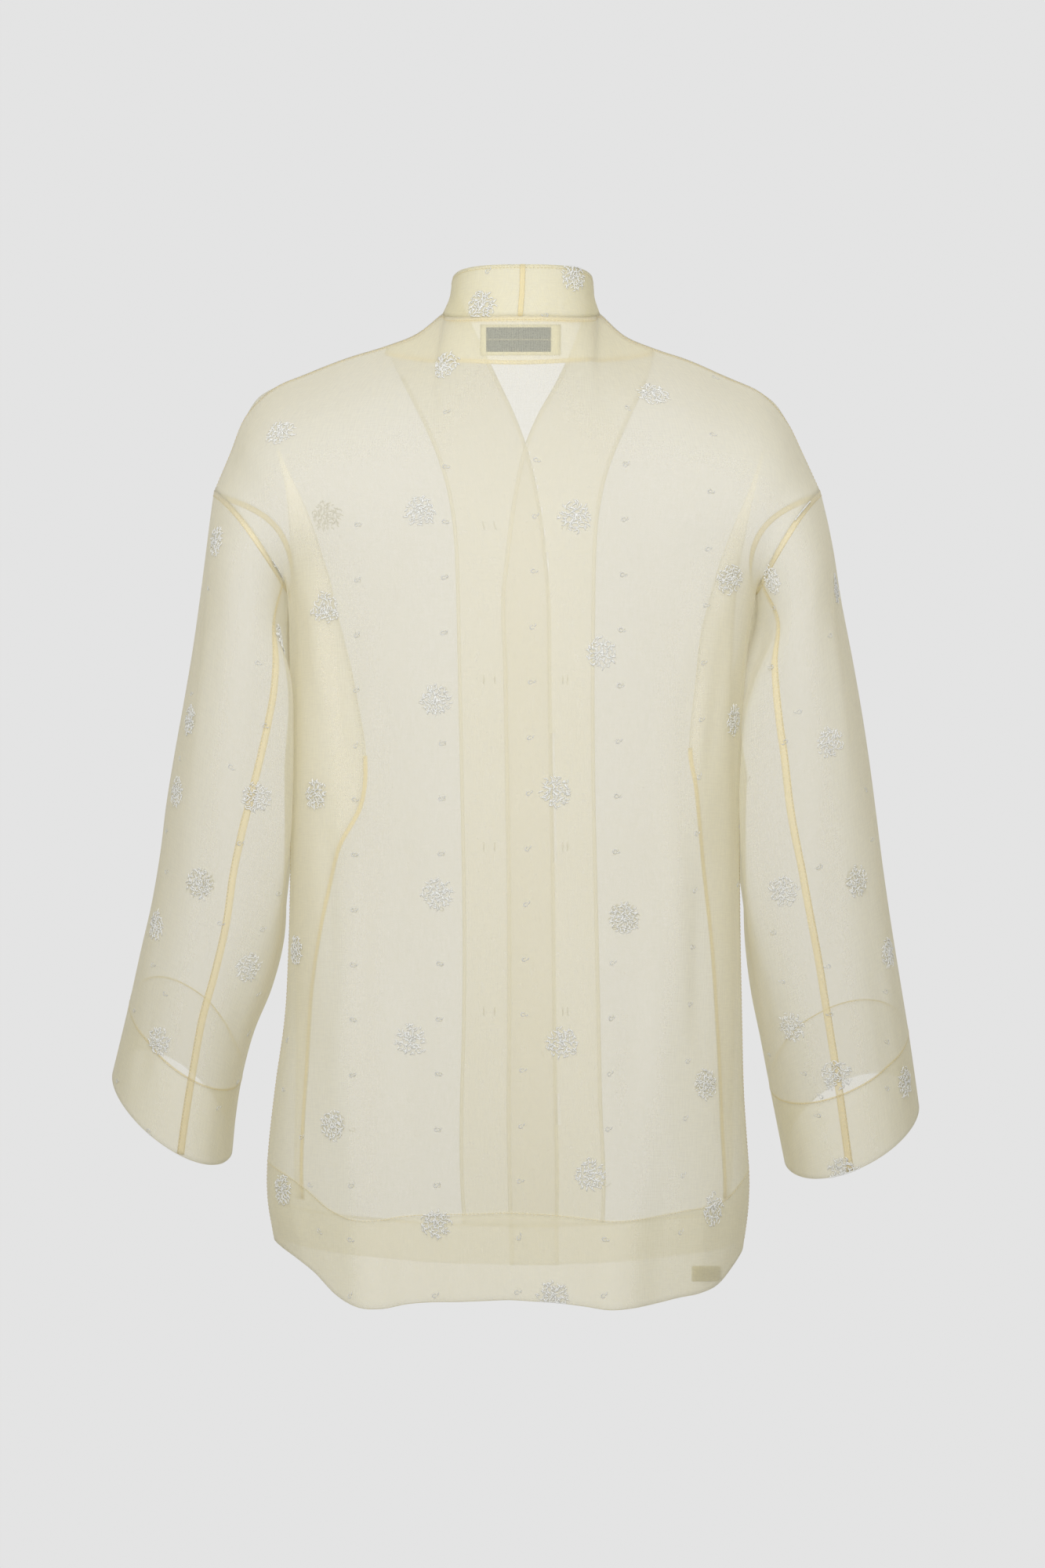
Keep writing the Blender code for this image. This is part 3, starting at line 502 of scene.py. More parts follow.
def front_turns(side, height):
    """Turns of a front's columns: the band's at their true widths, the rest evenly to the side."""
    lap = LAP_LEFT if side > 0 else LAP_RIGHT
    fine = np.linspace(0.5, LAP_TURN, SAMPLES)
    line = body_point(fine, height, side)
    run = lengths(line)
    centre = np.interp(-side * body_at("front_middle", height), -side * line[:, 0], run)
    edge = centre + lap
    band = edge - np.linspace(0.0, FACING_WIDTH, BAND_COLUMNS + 1)
    rest = np.linspace(band[-1], 0.0, FRONT_COLUMNS + 1)
    return np.interp(np.concatenate((band, rest[1:])), run, fine)


def under_lap(grid, side):
    """Lay the band of the right front deeper where the left one crosses it."""
    if side > 0:
        return grid
    grid = grid.copy()
    across = np.cumsum(np.linalg.norm(np.diff(grid, axis=1), axis=2), axis=1)
    across = np.concatenate((np.zeros((len(grid), 1)), across), axis=1)
    width = LAP_LEFT + LAP_RIGHT + LAP_MARGIN
    share = 1.0 - ease((across - width) / LAP_EASE)
    below_v = ease((LAP_TOP[0] - grid[..., 2]) / LAP_TOP[1])
    grid[..., 1] += LAP_DEPTH * share * below_v
    return grid


def front_grid(side):
    """A front from its free edge outwards to the armhole and side seam."""
    collar_side = collar_ring(side, math.pi / 2.0, np.linspace(0.0, 1.0, COLLAR_ROWS + 1))
    columns = BAND_COLUMNS - COLLAR_ROWS + FRONT_COLUMNS
    top = np.concatenate((collar_side, shoulder_points(side, BAND_COLUMNS - COLLAR_ROWS, columns)))
    turns = front_turns(side, UNDERARM_HEIGHT)
    bottom = body_point(turns, UNDERARM_HEIGHT, side)
    near = front_edge(side, YOKE_ROWS)
    near[-1] = bottom[0]
    far = armhole_point(np.linspace(0.0, -math.pi, YOKE_ROWS), side)
    yoke = stretched(top, bottom, near, far)
    grid = np.concatenate((yoke, lower_rows(turns, front_turns(side, HEM_HEIGHT), side)))
    return under_lap(folds_added(settled(grid)), side)


def collar_grid(side):
    """Half of the stand collar behind the neck: rows run down, columns run from the side to the back."""
    share = np.linspace(math.pi / 2.0, 0.0, COLLAR_COLUMNS + 1)
    return np.array([collar_ring(side, share, step) for step in np.linspace(0.0, 1.0, COLLAR_ROWS + 1)])


print("coarse points of a front:", front_grid(1.0).shape, "and its collar half:", collar_grid(1.0).shape)

# %% [markdown]
# ## The sleeves
# The sleeves are straight wide tubes that lean forward as arms do. Slanted rings carry them from the
# armhole down, and where a sleeve touches the body its inner side wraps round it.

# %% Coarse points of a sleeve
FRONT_RISE = 1.6
SLEEVE_HEM = 0.060
SLEEVE_SIDES = 24
SLEEVE_ROWS = 11
SLEEVE_HEM_ROWS = 3

# Each section: the outer and inner side's place in x and z, how far the middle leans forward, half
# the depth, how far the back hangs lower, and how far the inner side wraps round the body.
SLEEVE_LEFT = (
    (0.2415, -0.170, 0.1840, -0.238, 0.001, 0.0780, 0.002, 0.004),
    (0.2475, -0.215, 0.1822, -0.288, 0.004, 0.0780, 0.004, 0.016),
    (0.2560, -0.270, 0.1820, -0.342, 0.009, 0.0775, 0.005, 0.018),
    (0.2660, -0.322, 0.1820, -0.393, 0.015, 0.0770, 0.008, 0.018),
    (0.2755, -0.375, 0.1830, -0.442, 0.023, 0.0760, 0.011, 0.012),
    (0.2835, -0.430, 0.1875, -0.494, 0.033, 0.0750, 0.014, 0.004),
    (0.2965, -0.485, 0.2085, -0.548, 0.044, 0.0735, 0.017, 0.0),
    (0.3085, -0.535, 0.2215, -0.598, 0.055, 0.0715, 0.019, 0.0),
    (0.3210, -0.583, 0.2275, -0.645, 0.066, 0.0700, 0.021, 0.0),
)
SLEEVE_RIGHT = (
    (0.2350, -0.170, 0.1860, -0.238, 0.001, 0.0780, 0.002, 0.002),
    (0.2430, -0.218, 0.1770, -0.288, 0.004, 0.0780, 0.004, 0.010),
    (0.2545, -0.275, 0.1705, -0.342, 0.009, 0.0775, 0.007, 0.018),
    (0.2640, -0.330, 0.1690, -0.393, 0.015, 0.0775, 0.007, 0.018),
    (0.2720, -0.385, 0.1695, -0.444, 0.023, 0.0775, 0.010, 0.014),
    (0.2800, -0.440, 0.1725, -0.498, 0.033, 0.0770, 0.012, 0.005),
    (0.2900, -0.498, 0.1830, -0.552, 0.044, 0.0765, 0.014, 0.0),
    (0.3000, -0.554, 0.1935, -0.604, 0.055, 0.0755, 0.018, 0.0),
    (0.3085, -0.607, 0.2035, -0.652, 0.066, 0.0745, 0.022, 0.0),
)


def sleeve_grid(side):
    """A sleeve: rows run down from the armhole, columns run round from the shoulder to the back."""
    sections = SLEEVE_LEFT if side > 0 else SLEEVE_RIGHT
    angle = np.linspace(0.0, 2.0 * math.pi, SLEEVE_SIDES, endpoint=False)
    reach = np.sin(angle)
    rings = [armhole_point(angle, side)]
    for outer_x, outer_z, inner_x, inner_z, forward, half_depth, back_drop, wrap in sections:
        outer, inner = np.array([outer_x, outer_z]), np.array([inner_x, inner_z])
        plan = (outer + inner) / 2 + np.cos(angle)[:, None] * (outer - inner) / 2
        plan[:, 0] -= wrap * np.sin(2 * angle) ** 4 * (np.cos(angle) < 0)
        drop = reach * np.where(reach > 0, 1.0, FRONT_RISE) * back_drop
        ring = [side * plan[:, 0], reach * half_depth - forward, plan[:, 1] - drop]
        rings.append(np.stack(ring, axis=1))
    rings = np.array(rings)
    columns = []
    for column in range(SLEEVE_SIDES):
        line = rings[:, column]
        knots = lengths(line)
        total = knots[-1]
        above = np.linspace(0.0, total - SLEEVE_HEM - HEM_STEP, SLEEVE_ROWS)
        inside = np.linspace(total - SLEEVE_HEM, total, SLEEVE_HEM_ROWS)
        place = np.concatenate((above, inside))
        columns.append(curve_at(knots, line, place))
    return np.stack(columns, axis=1)


print("coarse points of a sleeve:", sleeve_grid(1.0).shape)

# %% [markdown]
# ## Cloth as a grid that can be measured
# Seams, stitches and flowers all have to lie on the cloth. A panel is kept as a fine grid whose rows
# run down and whose columns run across, so that any place on it can be read, shifted by millimetres,
# or found from the pixel where the photograph shows it.

# %% The cloth class
class Cloth:
    """A grid of cloth with normals that point away from the wearer."""

    def __init__(self, grid, flip=False, closed=False):
        self.grid = grid
        self.flip = flip
        self.closed = closed
        self.down = np.gradient(grid, axis=0)
        self.across = self.slope_across(grid)
        normal = np.cross(self.down, self.across) * (-1.0 if flip else 1.0)
        self.normals = normal / np.linalg.norm(normal, axis=2, keepdims=True)

    def slope_across(self, field):
        if self.closed:
            return (np.roll(field, -1, axis=1) - np.roll(field, 1, axis=1)) / 2.0
        return np.gradient(field, axis=1)

    def read(self, field, rows, columns):
        """Read a field of the grid at fractional places."""
        count = self.grid.shape[1]
        rows = np.clip(rows, 0.0, len(self.grid) - 1.0)
        columns = np.mod(columns, count) if self.closed else np.clip(columns, 0.0, count - 1.0)
        row = np.minimum(rows.astype(int), len(self.grid) - 2)
        column = np.minimum(columns.astype(int), count - (1 if self.closed else 2))
        after = (column + 1) % count
        more = (1,) * (field.ndim - 2)
        share_down = (rows - row).reshape(rows.shape + more)
        share_across = (columns - column).reshape(columns.shape + more)
        upper = field[row, column] * (1 - share_across) + field[row, after] * share_across
        lower = field[row + 1, column] * (1 - share_across) + field[row + 1, after] * share_across
        return upper * (1 - share_down) + lower * share_down

    def at(self, rows, columns, lift=0.0):
        """Points on the cloth, or lifted off it along its normals."""
        lift = np.asarray(lift)[..., None]
        return self.read(self.grid, rows, columns) + self.read(self.normals, rows, columns) * lift

    def shifted(self, rows, columns, right, below):
        """Places moved across and down by distances in metres, measured on the cloth."""
        across = self.read(self.across, rows, columns)
        down = self.read(self.down, rows, columns)
        width = np.linalg.norm(across, axis=-1)
        side = across / width[..., None]
        slant = (down * side).sum(axis=-1)
        height = np.linalg.norm(down - side * slant[..., None], axis=-1)
        rows_moved = below / height
        return rows + rows_moved, columns + (right - rows_moved * slant) / width


print("cloth class ready")

# %% [markdown]
# ## Refine the coarse points
# The coarse points are 15 to 60 mm apart. Smooth curves are read through them, first down and then
# across, until the threads of the grid are about 4 mm apart. That is fine enough for soft creases.

# %% Refine a grid
def split(cells):
    """Fractional places that cut each coarse cell into equal parts."""
    parts = [start + np.arange(count) / count for start, count in enumerate(cells)]
    return np.concatenate(parts + [[float(len(cells))]])


def refined(grid, down, across, closed=False):
    """A fine grid through a coarse one, with so many rows and columns in each cell."""
    steps = np.linalg.norm(np.diff(grid, axis=0), axis=2).mean(axis=1)
    knots = np.concatenate(([0.0], np.cumsum(steps)))
    place = np.interp(split(down), np.arange(len(knots)), knots)
    grid = curve_at(knots, grid, place)
    if closed:
        margin = 3
        grid = np.concatenate((grid[:, -margin:], grid, grid[:, :margin + 1]), axis=1)
    steps = np.linalg.norm(np.diff(grid, axis=1), axis=2).mean(axis=0)
    knots = np.concatenate(([0.0], np.cumsum(steps)))
    places = split(across)
    if closed:
        places = places[:-1] + margin
    place = np.interp(places, np.arange(len(knots)), knots)
    return curve_at(knots, grid.transpose(1, 0, 2), place).transpose(1, 0, 2)


YOKE_CELL, BODY_CELL, HEM_CELL = 5, 14, 8       # fine rows in one coarse row
BACK_CELL, BAND_CELL, FRONT_CELL = 5, 5, 6      # fine columns in one coarse column
SLEEVE_CELL, SLEEVE_ROUND = 10, 4
BODY_CELLS = [YOKE_CELL] * (YOKE_ROWS - 1) + [BODY_CELL] * (BODY_ROWS - 1) + [1] + [HEM_CELL] * 2
UNDERARM_ROW = YOKE_CELL * (YOKE_ROWS - 1)
HEM_ROW = UNDERARM_ROW + BODY_CELL * (BODY_ROWS - 1)
FRONT_TURN_ROW = HEM_ROW + 1 + HEM_CELL
SLEEVE_CELLS = [SLEEVE_CELL] * (SLEEVE_ROWS - 1) + [1] + [HEM_CELL] * 2
SLEEVE_HEM_ROW = SLEEVE_CELL * (SLEEVE_ROWS - 1)
BAND_COLUMN = BAND_CELL * BAND_COLUMNS
COLLAR_COLUMN = BAND_CELL * COLLAR_ROWS

back_points = refined(back_grid(), BODY_CELLS, [BACK_CELL] * BACK_COLUMNS)
print("fine points of the back:", back_points.shape)

# %% [markdown]
# ## Soft creases
# Besides the long folds, the photograph shows soft dents: drag lines under the arms, ripples down
# the sleeves and a slack place above the hem. Each is placed as a short ridge or trough with its own
# length, width and depth, and similar ones are laid on the sides that the photo hides.

# %% Crease helper
CREASE_FADE = 0.35               # share of a crease's length over which each end fades out


def creased(cloth, creases, places):
    """Push creases out of the cloth. Their ends are given in the same units as places (across, down)."""
    push = np.zeros(cloth.grid.shape[:2])
    for x_start, y_start, x_end, y_end, width, depth in creases:
        run = np.array([x_end - x_start, y_end - y_start])
        length = np.linalg.norm(run)
        run = run / length
        off = places - np.array([x_start, y_start])
        along = (off @ run) / length
        aside = (off @ np.array([-run[1], run[0]])) / width
        fade = ease(along / CREASE_FADE) * ease((1.0 - along) / CREASE_FADE)
        push += depth * fade * np.exp(-aside * aside)
    return Cloth(cloth.grid + cloth.normals * push[..., None], cloth.flip, cloth.closed)


def measured(cloth, row, column):
    """Distances across and down the cloth from one row and column, in metres."""
    grid = cloth.grid
    if cloth.closed:
        grid = np.concatenate((grid, grid[:, :1]), axis=1)
    across = np.linalg.norm(np.diff(grid, axis=1), axis=2)
    down = np.linalg.norm(np.diff(grid, axis=0), axis=2)
    across = np.concatenate((np.zeros((len(grid), 1)), np.cumsum(across, axis=1)), axis=1)
    down = np.concatenate((np.zeros((1, grid.shape[1])), np.cumsum(down, axis=0)), axis=0)
    across = across - across[:, column:column + 1]
    down = down - down[row:row + 1]
    return np.stack([across, down], axis=2)


print("each end of a crease fades over", CREASE_FADE, "of its length")

# %% [markdown]
# ## Creases of the body
# Each crease has two ends, a width and a depth, which is negative for a trough. On the back the ends
# are metres to the wearer's right of the centre and metres below the underarm line. On the fronts
# they are metres from the free edge. Most run down, as the cloth's own weight pulls them.

# %% Place the creases
BACK_CREASES = (
    (-0.165, -0.045, -0.150, 0.090, 0.010, 0.0022),
    (-0.148, -0.020, -0.128, 0.150, 0.008, -0.0018),
    (-0.118, 0.010, -0.108, 0.200, 0.007, 0.0014),
    (-0.150, 0.120, -0.138, 0.330, 0.009, -0.0020),
    (-0.088, 0.060, -0.082, 0.260, 0.009, -0.0012),
    (-0.060, -0.120, -0.095, 0.020, 0.014, 0.0014),
    (0.150, -0.060, 0.128, 0.070, 0.010, 0.0022),
    (0.168, -0.020, 0.150, 0.150, 0.008, -0.0018),
    (0.118, 0.020, 0.122, 0.240, 0.009, 0.0015),
    (0.146, 0.160, 0.150, 0.360, 0.010, -0.0018),
    (0.080, -0.110, 0.112, 0.010, 0.013, -0.0014),
    (0.034, 0.240, 0.026, 0.420, 0.014, 0.0014),
    (-0.030, 0.300, -0.042, 0.460, 0.012, -0.0014),
    (-0.120, 0.330, -0.112, 0.470, 0.010, 0.0020),
    (0.088, 0.300, 0.094, 0.470, 0.012, -0.0018),
    (-0.012, -0.150, 0.004, -0.050, 0.016, -0.0008),
)
FRONT_CREASES = (
    (0.190, -0.060, 0.172, 0.080, 0.010, 0.0020),
    (0.168, -0.030, 0.150, 0.140, 0.009, -0.0018),
    (0.120, 0.020, 0.128, 0.230, 0.010, 0.0014),
    (0.150, 0.150, 0.160, 0.350, 0.010, -0.0018),
    (0.100, -0.100, 0.140, 0.000, 0.012, -0.0014),
    (0.110, 0.260, 0.104, 0.430, 0.012, -0.0016),
    (0.182, 0.260, 0.176, 0.440, 0.011, 0.0018),
)

BACK_CENTRE = BACK_CELL * BACK_COLUMNS // 2
back = Cloth(back_points)
back = creased(back, BACK_CREASES, measured(back, UNDERARM_ROW, BACK_CENTRE))
print("deepest crease of the back:", max(abs(crease[-1]) for crease in BACK_CREASES))

# %% [markdown]
# ## The other panels
# The fronts, collar halves and sleeves are refined and creased in the same way. A front and its
# collar half are one piece of cloth, so the points on their common edge are made the same.

# %% Fine fronts, collar halves and sleeves
# Ends in metres round the sleeve, from the shoulder towards the back, and down it.
SLEEVE_CREASES = (
    (0.020, 0.020, 0.050, 0.140, 0.012, -0.0016),
    (0.060, 0.060, 0.072, 0.240, 0.010, 0.0016),
    (0.110, 0.010, 0.096, 0.120, 0.009, -0.0020),
    (0.088, 0.180, 0.104, 0.360, 0.012, -0.0016),
    (0.040, 0.230, 0.046, 0.420, 0.014, 0.0018),
    (0.120, 0.240, 0.126, 0.400, 0.010, 0.0016),
    (0.066, 0.330, 0.070, 0.480, 0.010, -0.0014),
    (0.250, 0.030, 0.262, 0.180, 0.011, -0.0020),
    (0.290, 0.090, 0.286, 0.280, 0.012, 0.0018),
    (0.262, 0.230, 0.256, 0.410, 0.012, -0.0016),
    (0.306, 0.260, 0.300, 0.440, 0.011, 0.0016),
)


def make_front_cloth(side):
    """The fine front and collar half of one side, sharing the edge where they meet."""
    flip = side < 0
    columns = [BAND_CELL] * BAND_COLUMNS + [FRONT_CELL] * FRONT_COLUMNS
    grid = refined(front_grid(side), BODY_CELLS, columns)
    collar = refined(collar_grid(side), [BAND_CELL] * COLLAR_ROWS, [BAND_CELL] * COLLAR_COLUMNS)
    grid[0, :COLLAR_COLUMN + 1] = collar[:, 0]
    front = Cloth(grid, flip)
    front = creased(front, FRONT_CREASES, measured(front, UNDERARM_ROW, 0))
    return front, Cloth(collar, flip)


# The slack below the arm, which fills the space between sleeve and side.
ARM_SLACK = {
    1.0: ((0.222, -0.010, 0.226, 0.140, 0.040, 0.0060),),
    -1.0: ((0.222, -0.005, 0.230, 0.150, 0.050, 0.0180),),
}


def make_sleeve_cloth(side):
    grid = refined(sleeve_grid(side), SLEEVE_CELLS, [SLEEVE_ROUND] * SLEEVE_SIDES, closed=True)
    sleeve = Cloth(grid, side < 0, closed=True)
    return creased(sleeve, SLEEVE_CREASES + ARM_SLACK[side], measured(sleeve, 0, 0)[:, :-1])


SIDES = {"left": 1.0, "right": -1.0}
fronts, collars, sleeves = {}, {}, {}
for name, side in SIDES.items():
    fronts[name], collars[name] = make_front_cloth(side)
    sleeves[name] = make_sleeve_cloth(side)
    print(name, "front", fronts[name].grid.shape, "sleeve", sleeves[name].grid.shape)

# %% [markdown]
# ## Materials: arithmetic on sockets
# Cloth colours and thinness are worked out by nodes. A small class wraps a socket, so that ordinary
# Python sums add the Math nodes.

# %% Sockets with arithmetic
class Value:
    """A number or vector that nodes work out at each point of a surface."""

    def __init__(self, finish, socket):
        self.finish = finish
        self.socket = socket

    def math(self, operation, *terms):
        return self.finish.node("Math", {"operation": operation}, dict(enumerate(terms)))

    def __add__(self, other):
        return self.math("ADD", self, other)

    __radd__ = __add__

    def __mul__(self, other):
        return self.math("MULTIPLY", self, other)

    __rmul__ = __mul__

    def __sub__(self, other):
        return self.math("SUBTRACT", self, other)

    def __rsub__(self, other):
        return self.math("SUBTRACT", other, self)

    def __truediv__(self, other):
        return self.math("DIVIDE", self, other)

    def __rtruediv__(self, other):
        return self.math("DIVIDE", other, self)

    def __pow__(self, other):
        return self.math("POWER", self, other)

    def __rpow__(self, other):
        return self.math("POWER", other, self)

    def at_least(self, low):
        return self.math("MAXIMUM", self, low)

    def between(self, low, high):
        return self.math("MINIMUM", self.at_least(low), high)

    def wave(self):
        return self.math("SINE", self)

    def part(self, name):
        """Another output of the same node."""
        return Value(self.finish, self.socket.node.outputs[name])


print("sums on sockets ready")

# %% [markdown]
# ## A finish and its nodes
# One method adds any other node. The rest give short names to what most of the cloth needs: noise,
# relief, a mix of two colours, and light that passes between the threads and through them.

# %% A finish and its nodes
NOISE_DETAIL = 2.0               # how many finer layers a noise has


class Finish:
    """A material whose nodes are added by name."""

    def __init__(self, name, **constants):
        self.material = bpy.data.materials.new(name)
        self.material.use_nodes = True
        self.tree = self.material.node_tree
        self.shader = self.tree.nodes["Principled BSDF"]
        for socket, value in constants.items():
            self.shader.inputs[socket.replace("_", " ")].default_value = value

    def node(self, kind, settings=None, inputs=None, output=0):
        made = self.tree.nodes.new("ShaderNode" + kind)
        for name, value in (settings or {}).items():
            setattr(made, name, value)
        for name, value in (inputs or {}).items():
            if isinstance(value, Value):
                self.tree.links.new(value.socket, made.inputs[name])
            else:
                made.inputs[name].default_value = value
        return Value(self, made.outputs[output])

    def noise(self, place, stretch):
        """Smooth noise, stretched by different amounts across and down the cloth."""
        vector = self.node("VectorMath", {"operation": "MULTIPLY"}, {0: place, 1: (*stretch, 1.0)})
        values = {"Vector": vector, "Scale": 1.0, "Detail": NOISE_DETAIL}
        return self.node("TexNoise", {"noise_dimensions": "2D"}, values)

    def bumped(self, height, strength, distance):
        """The surface's normal, tilted as if it had this relief."""
        values = {"Strength": strength, "Distance": distance, "Height": height}
        return self.node("Bump", {}, values, "Normal")

    def mixed(self, share, first, second):
        """A colour between two others."""
        return self.node("Mix", {"data_type": "RGBA"}, {0: share, 6: first, 7: second}, output=2)

    def sheer(self, alpha, colour, through):
        """Let light past between the threads, and a share of the rest through them."""
        clear = self.node("BsdfTransparent")
        glow = self.node("BsdfTranslucent", {}, {"Color": colour})
        surface = Value(self, self.shader.outputs[0])
        threads = self.node("MixShader", {}, {0: through, 1: surface, 2: glow})
        whole = self.node("MixShader", {}, {0: alpha, 1: clear, 2: threads})
        self.tree.links.new(whole.socket, self.tree.nodes["Material Output"].inputs["Surface"])

    def feed(self, **sockets):
        """Lead values into the shader."""
        for name, value in sockets.items():
            self.tree.links.new(value.socket, self.shader.inputs[name.replace("_", " ")])


print("finishes can be made")

# %% [markdown]
# ## Silk organza
# Organza is a plain weave of hard-twisted silk, so open that light passes between the threads. The
# cover is the share of light that one layer stops when it is seen square on. Seen edge on, the
# threads close up: a layer that lets through a share t lets through t to the power 1 / cosine. Each
# wall has an outer and an inner face, so each face lets through the square root of that share.
# Slubs, which are thicker threads, run mostly down the warp and now and then across it.

# %% The weave of the organza
WARP_SLUBS = (900.0, 80.0)       # noise cells a metre, across and down
WEFT_SLUBS = (90.0, 900.0)
CLOUDS = (16.0, 9.0)
THREADS = 2600.0                 # threads a metre
NOISE_MIDDLE = 0.5
WARP_STREAK, WEFT_STREAK = 0.5, 0.35
CLOUD_TONE = 0.5
# The deep tone grows towards the hem: painted shade, standing in for the light that falls off lower
# down.
SHOULDER_TONE = 0.35             # share of the deep tone at the height of the shoulders
PAINTED_SHADE_DOWN = -0.9               # and how it changes with each metre up
STREAK_COVER = 0.30              # how much a slub closes the weave, as a share of the cover
PASSING_LIMITS = (0.05, 0.98)    # least and most light that one face lets through
PLAIN_BLEND = 0.5                # at this blend the facing value is one less the cosine
LEAST_COSINE = 0.16
WEAVE_RELIEF, WARP_RELIEF, WEFT_RELIEF = 0.10, 0.6, 0.4
RELIEF_STRENGTH, RELIEF_DEPTH = 0.12, 0.0002
CLOTH_ROUGHNESS, ROUGHER = 0.5, 0.25
CLOTH_THROUGH = 0.45             # share of the light on a thread that comes out behind it


def organza(name, pale, deep, cover, slub=1.0, through=CLOTH_THROUGH):
    """Sheer cloth of one cover."""
    finish = Finish(name, Metallic=0.0, IOR=1.45, Specular_IOR_Level=0.25, Sheen_Weight=0.15)
    place = finish.node("UVMap", {"uv_map": "cloth"})
    warp = finish.noise(place, WARP_SLUBS)
    weft = finish.noise(place, WEFT_SLUBS)
    cloud = finish.noise(place, CLOUDS)
    across = finish.node("SeparateXYZ", {}, {0: place})
    pitch = THREADS * math.pi
    threads = (across * pitch).wave() * (across.part("Y") * pitch).wave()
    warp_swing, weft_swing = warp - NOISE_MIDDLE, weft - NOISE_MIDDLE
    streak = warp_swing * (WARP_STREAK * slub) + weft_swing * (WEFT_STREAK * slub)
    height = finish.node("SeparateXYZ", {}, {0: finish.node("TexCoord", {}, {}, "Object")}).part("Z")
    # Slubs and clouds are the cloth's own tone; the height term is painted shade, darker and yellower
    # towards the hem.
    tone = SHOULDER_TONE + streak + (cloud - NOISE_MIDDLE) * CLOUD_TONE + height * PAINTED_SHADE_DOWN
    colour = finish.mixed(tone.between(0.0, 1.0), pale, deep)
    passing = (math.sqrt(1.0 - cover) - streak * (STREAK_COVER * cover)).between(*PASSING_LIMITS)
    cosine = 1.0 - finish.node("LayerWeight", {}, {"Blend": PLAIN_BLEND}, "Facing")
    alpha = 1.0 - passing ** (1.0 / cosine.at_least(LEAST_COSINE))
    relief = threads * WEAVE_RELIEF + warp * WARP_RELIEF + weft * WEFT_RELIEF
    bump = finish.bumped(relief, RELIEF_STRENGTH, RELIEF_DEPTH)
    finish.feed(Base_Color=colour, Roughness=CLOTH_ROUGHNESS + warp_swing * ROUGHER, Normal=bump)
    finish.sheer(alpha, colour, through)
    return finish.material


print("organza has", THREADS, "threads a metre")

# %% [markdown]
# ## One cloth in many layers
# It is one cloth throughout, but where layers lie on each other the photograph shows more than their
# sum: pressed layers read paler and richer, slack ones fainter. So the facings, collar, tucks,
# turned-up hems and rolled seams each have a cover and a tone of their own.

# %% Organza finishes
CLOTH_PALE = (0.968, 0.946, 0.865, 1.0)
CLOTH_DEEP = (0.950, 0.920, 0.780, 1.0)
# The facing is the same organza; its paler tones are painted light, for the extra light the doubled
# bands catch.
PAINTED_LIGHT_FACING_PALE = (0.994, 0.976, 0.890, 1.0)
PAINTED_LIGHT_FACING_DEEP = (0.986, 0.955, 0.815, 1.0)
TUCK_PALE = (0.985, 0.962, 0.880, 1.0)
TUCK_DEEP = (0.970, 0.936, 0.810, 1.0)
COLLAR_PALE = (0.940, 0.908, 0.755, 1.0)
COLLAR_DEEP = (0.912, 0.872, 0.665, 1.0)
SEAM_PALE = (0.965, 0.885, 0.620, 1.0)
SEAM_DEEP = (0.940, 0.830, 0.500, 1.0)
FACING_THROUGH = 0.15            # less where two layers lie flat together
TUCK_THROUGH = 0.30

cloth_finish = organza("silk organza", CLOTH_PALE, CLOTH_DEEP, cover=0.42)
painted_light_facing_finish = organza(
    "silk organza facing with painted light", PAINTED_LIGHT_FACING_PALE, PAINTED_LIGHT_FACING_DEEP, cover=0.48, through=FACING_THROUGH)
tuck_finish = organza("silk organza tuck", TUCK_PALE, TUCK_DEEP, cover=0.26, through=TUCK_THROUGH)
collar_finish = organza("silk organza collar", COLLAR_PALE, COLLAR_DEEP, cover=0.51)
hem_finish = organza("silk organza hem", CLOTH_PALE, CLOTH_DEEP, cover=0.50)
slack_finish = organza(
    "silk organza slack hem", TUCK_PALE, TUCK_DEEP, cover=0.16, through=TUCK_THROUGH)
seam_finish = organza(
    "seam allowance", SEAM_PALE, SEAM_DEEP, cover=0.68, slub=0.5, through=FACING_THROUGH)
print("organza finishes made")

# %% [markdown]
# ## Turning up a hem
# At the hems the cloth is folded round and laid up inside, as a tailor turns a deep plain hem. A
# grid's texture places are metres across and down the cloth, so the weave keeps its size.

# %% Turn up a hem
TURN_GAP = 0.0012
FULL_TURN = 2 * HEM_CELL         # fine rows of a full turn-up
FRONT_TURN = HEM_CELL            # and of the fronts', which is half as deep


def patch(cloth, row=0, column=0):
    """A grid, its places measured from one row and column, and which way it faces."""
    return cloth.grid, measured(cloth, row, column), cloth.flip


def turned_up(cloth, places, rows):
    """The grid and its places, carried on round the fold at the lower edge and up inside."""
    source = np.arange(len(cloth.grid) - 1, len(cloth.grid) - 2 - rows, -1)
    inner = cloth.grid[source] - cloth.normals[source] * TURN_GAP
    drop = cloth.down[-1] / np.linalg.norm(cloth.down[-1], axis=1, keepdims=True)
    fold = cloth.grid[-1] - cloth.normals[-1] * TURN_GAP / 2 + drop * TURN_GAP / 2
    grid = np.concatenate((cloth.grid, fold[None], inner))
    last = places[-1]
    fold_place = last + np.array([0.0, TURN_GAP])
    beyond = last + (last - places[source]) * np.array([0.0, 1.0]) + np.array([0.0, 2 * TURN_GAP])
    beyond[..., 0] = places[source][..., 0]
    return grid, np.concatenate((places, fold_place[None], beyond))


print("a full turn-up has", FULL_TURN, "fine rows")

# %% [markdown]
# ## Welding a piece
# A piece is one or more grids welded along their common edges, with a thin wall on its inner side.

# %% Build a cloth piece
THICKNESS = 0.00025
WELD_DISTANCE = 2e-5


def quads(rows, columns, flip, start=0):
    """Faces of a grid, wound so that they look away from the wearer."""
    index = start + np.arange(rows * columns).reshape(rows, columns)
    corners = [index[:-1, :-1], index[1:, :-1], index[1:, 1:], index[:-1, 1:]]
    faces = np.stack(corners, axis=-1).reshape(-1, 4)
    return faces[:, ::-1] if flip else faces


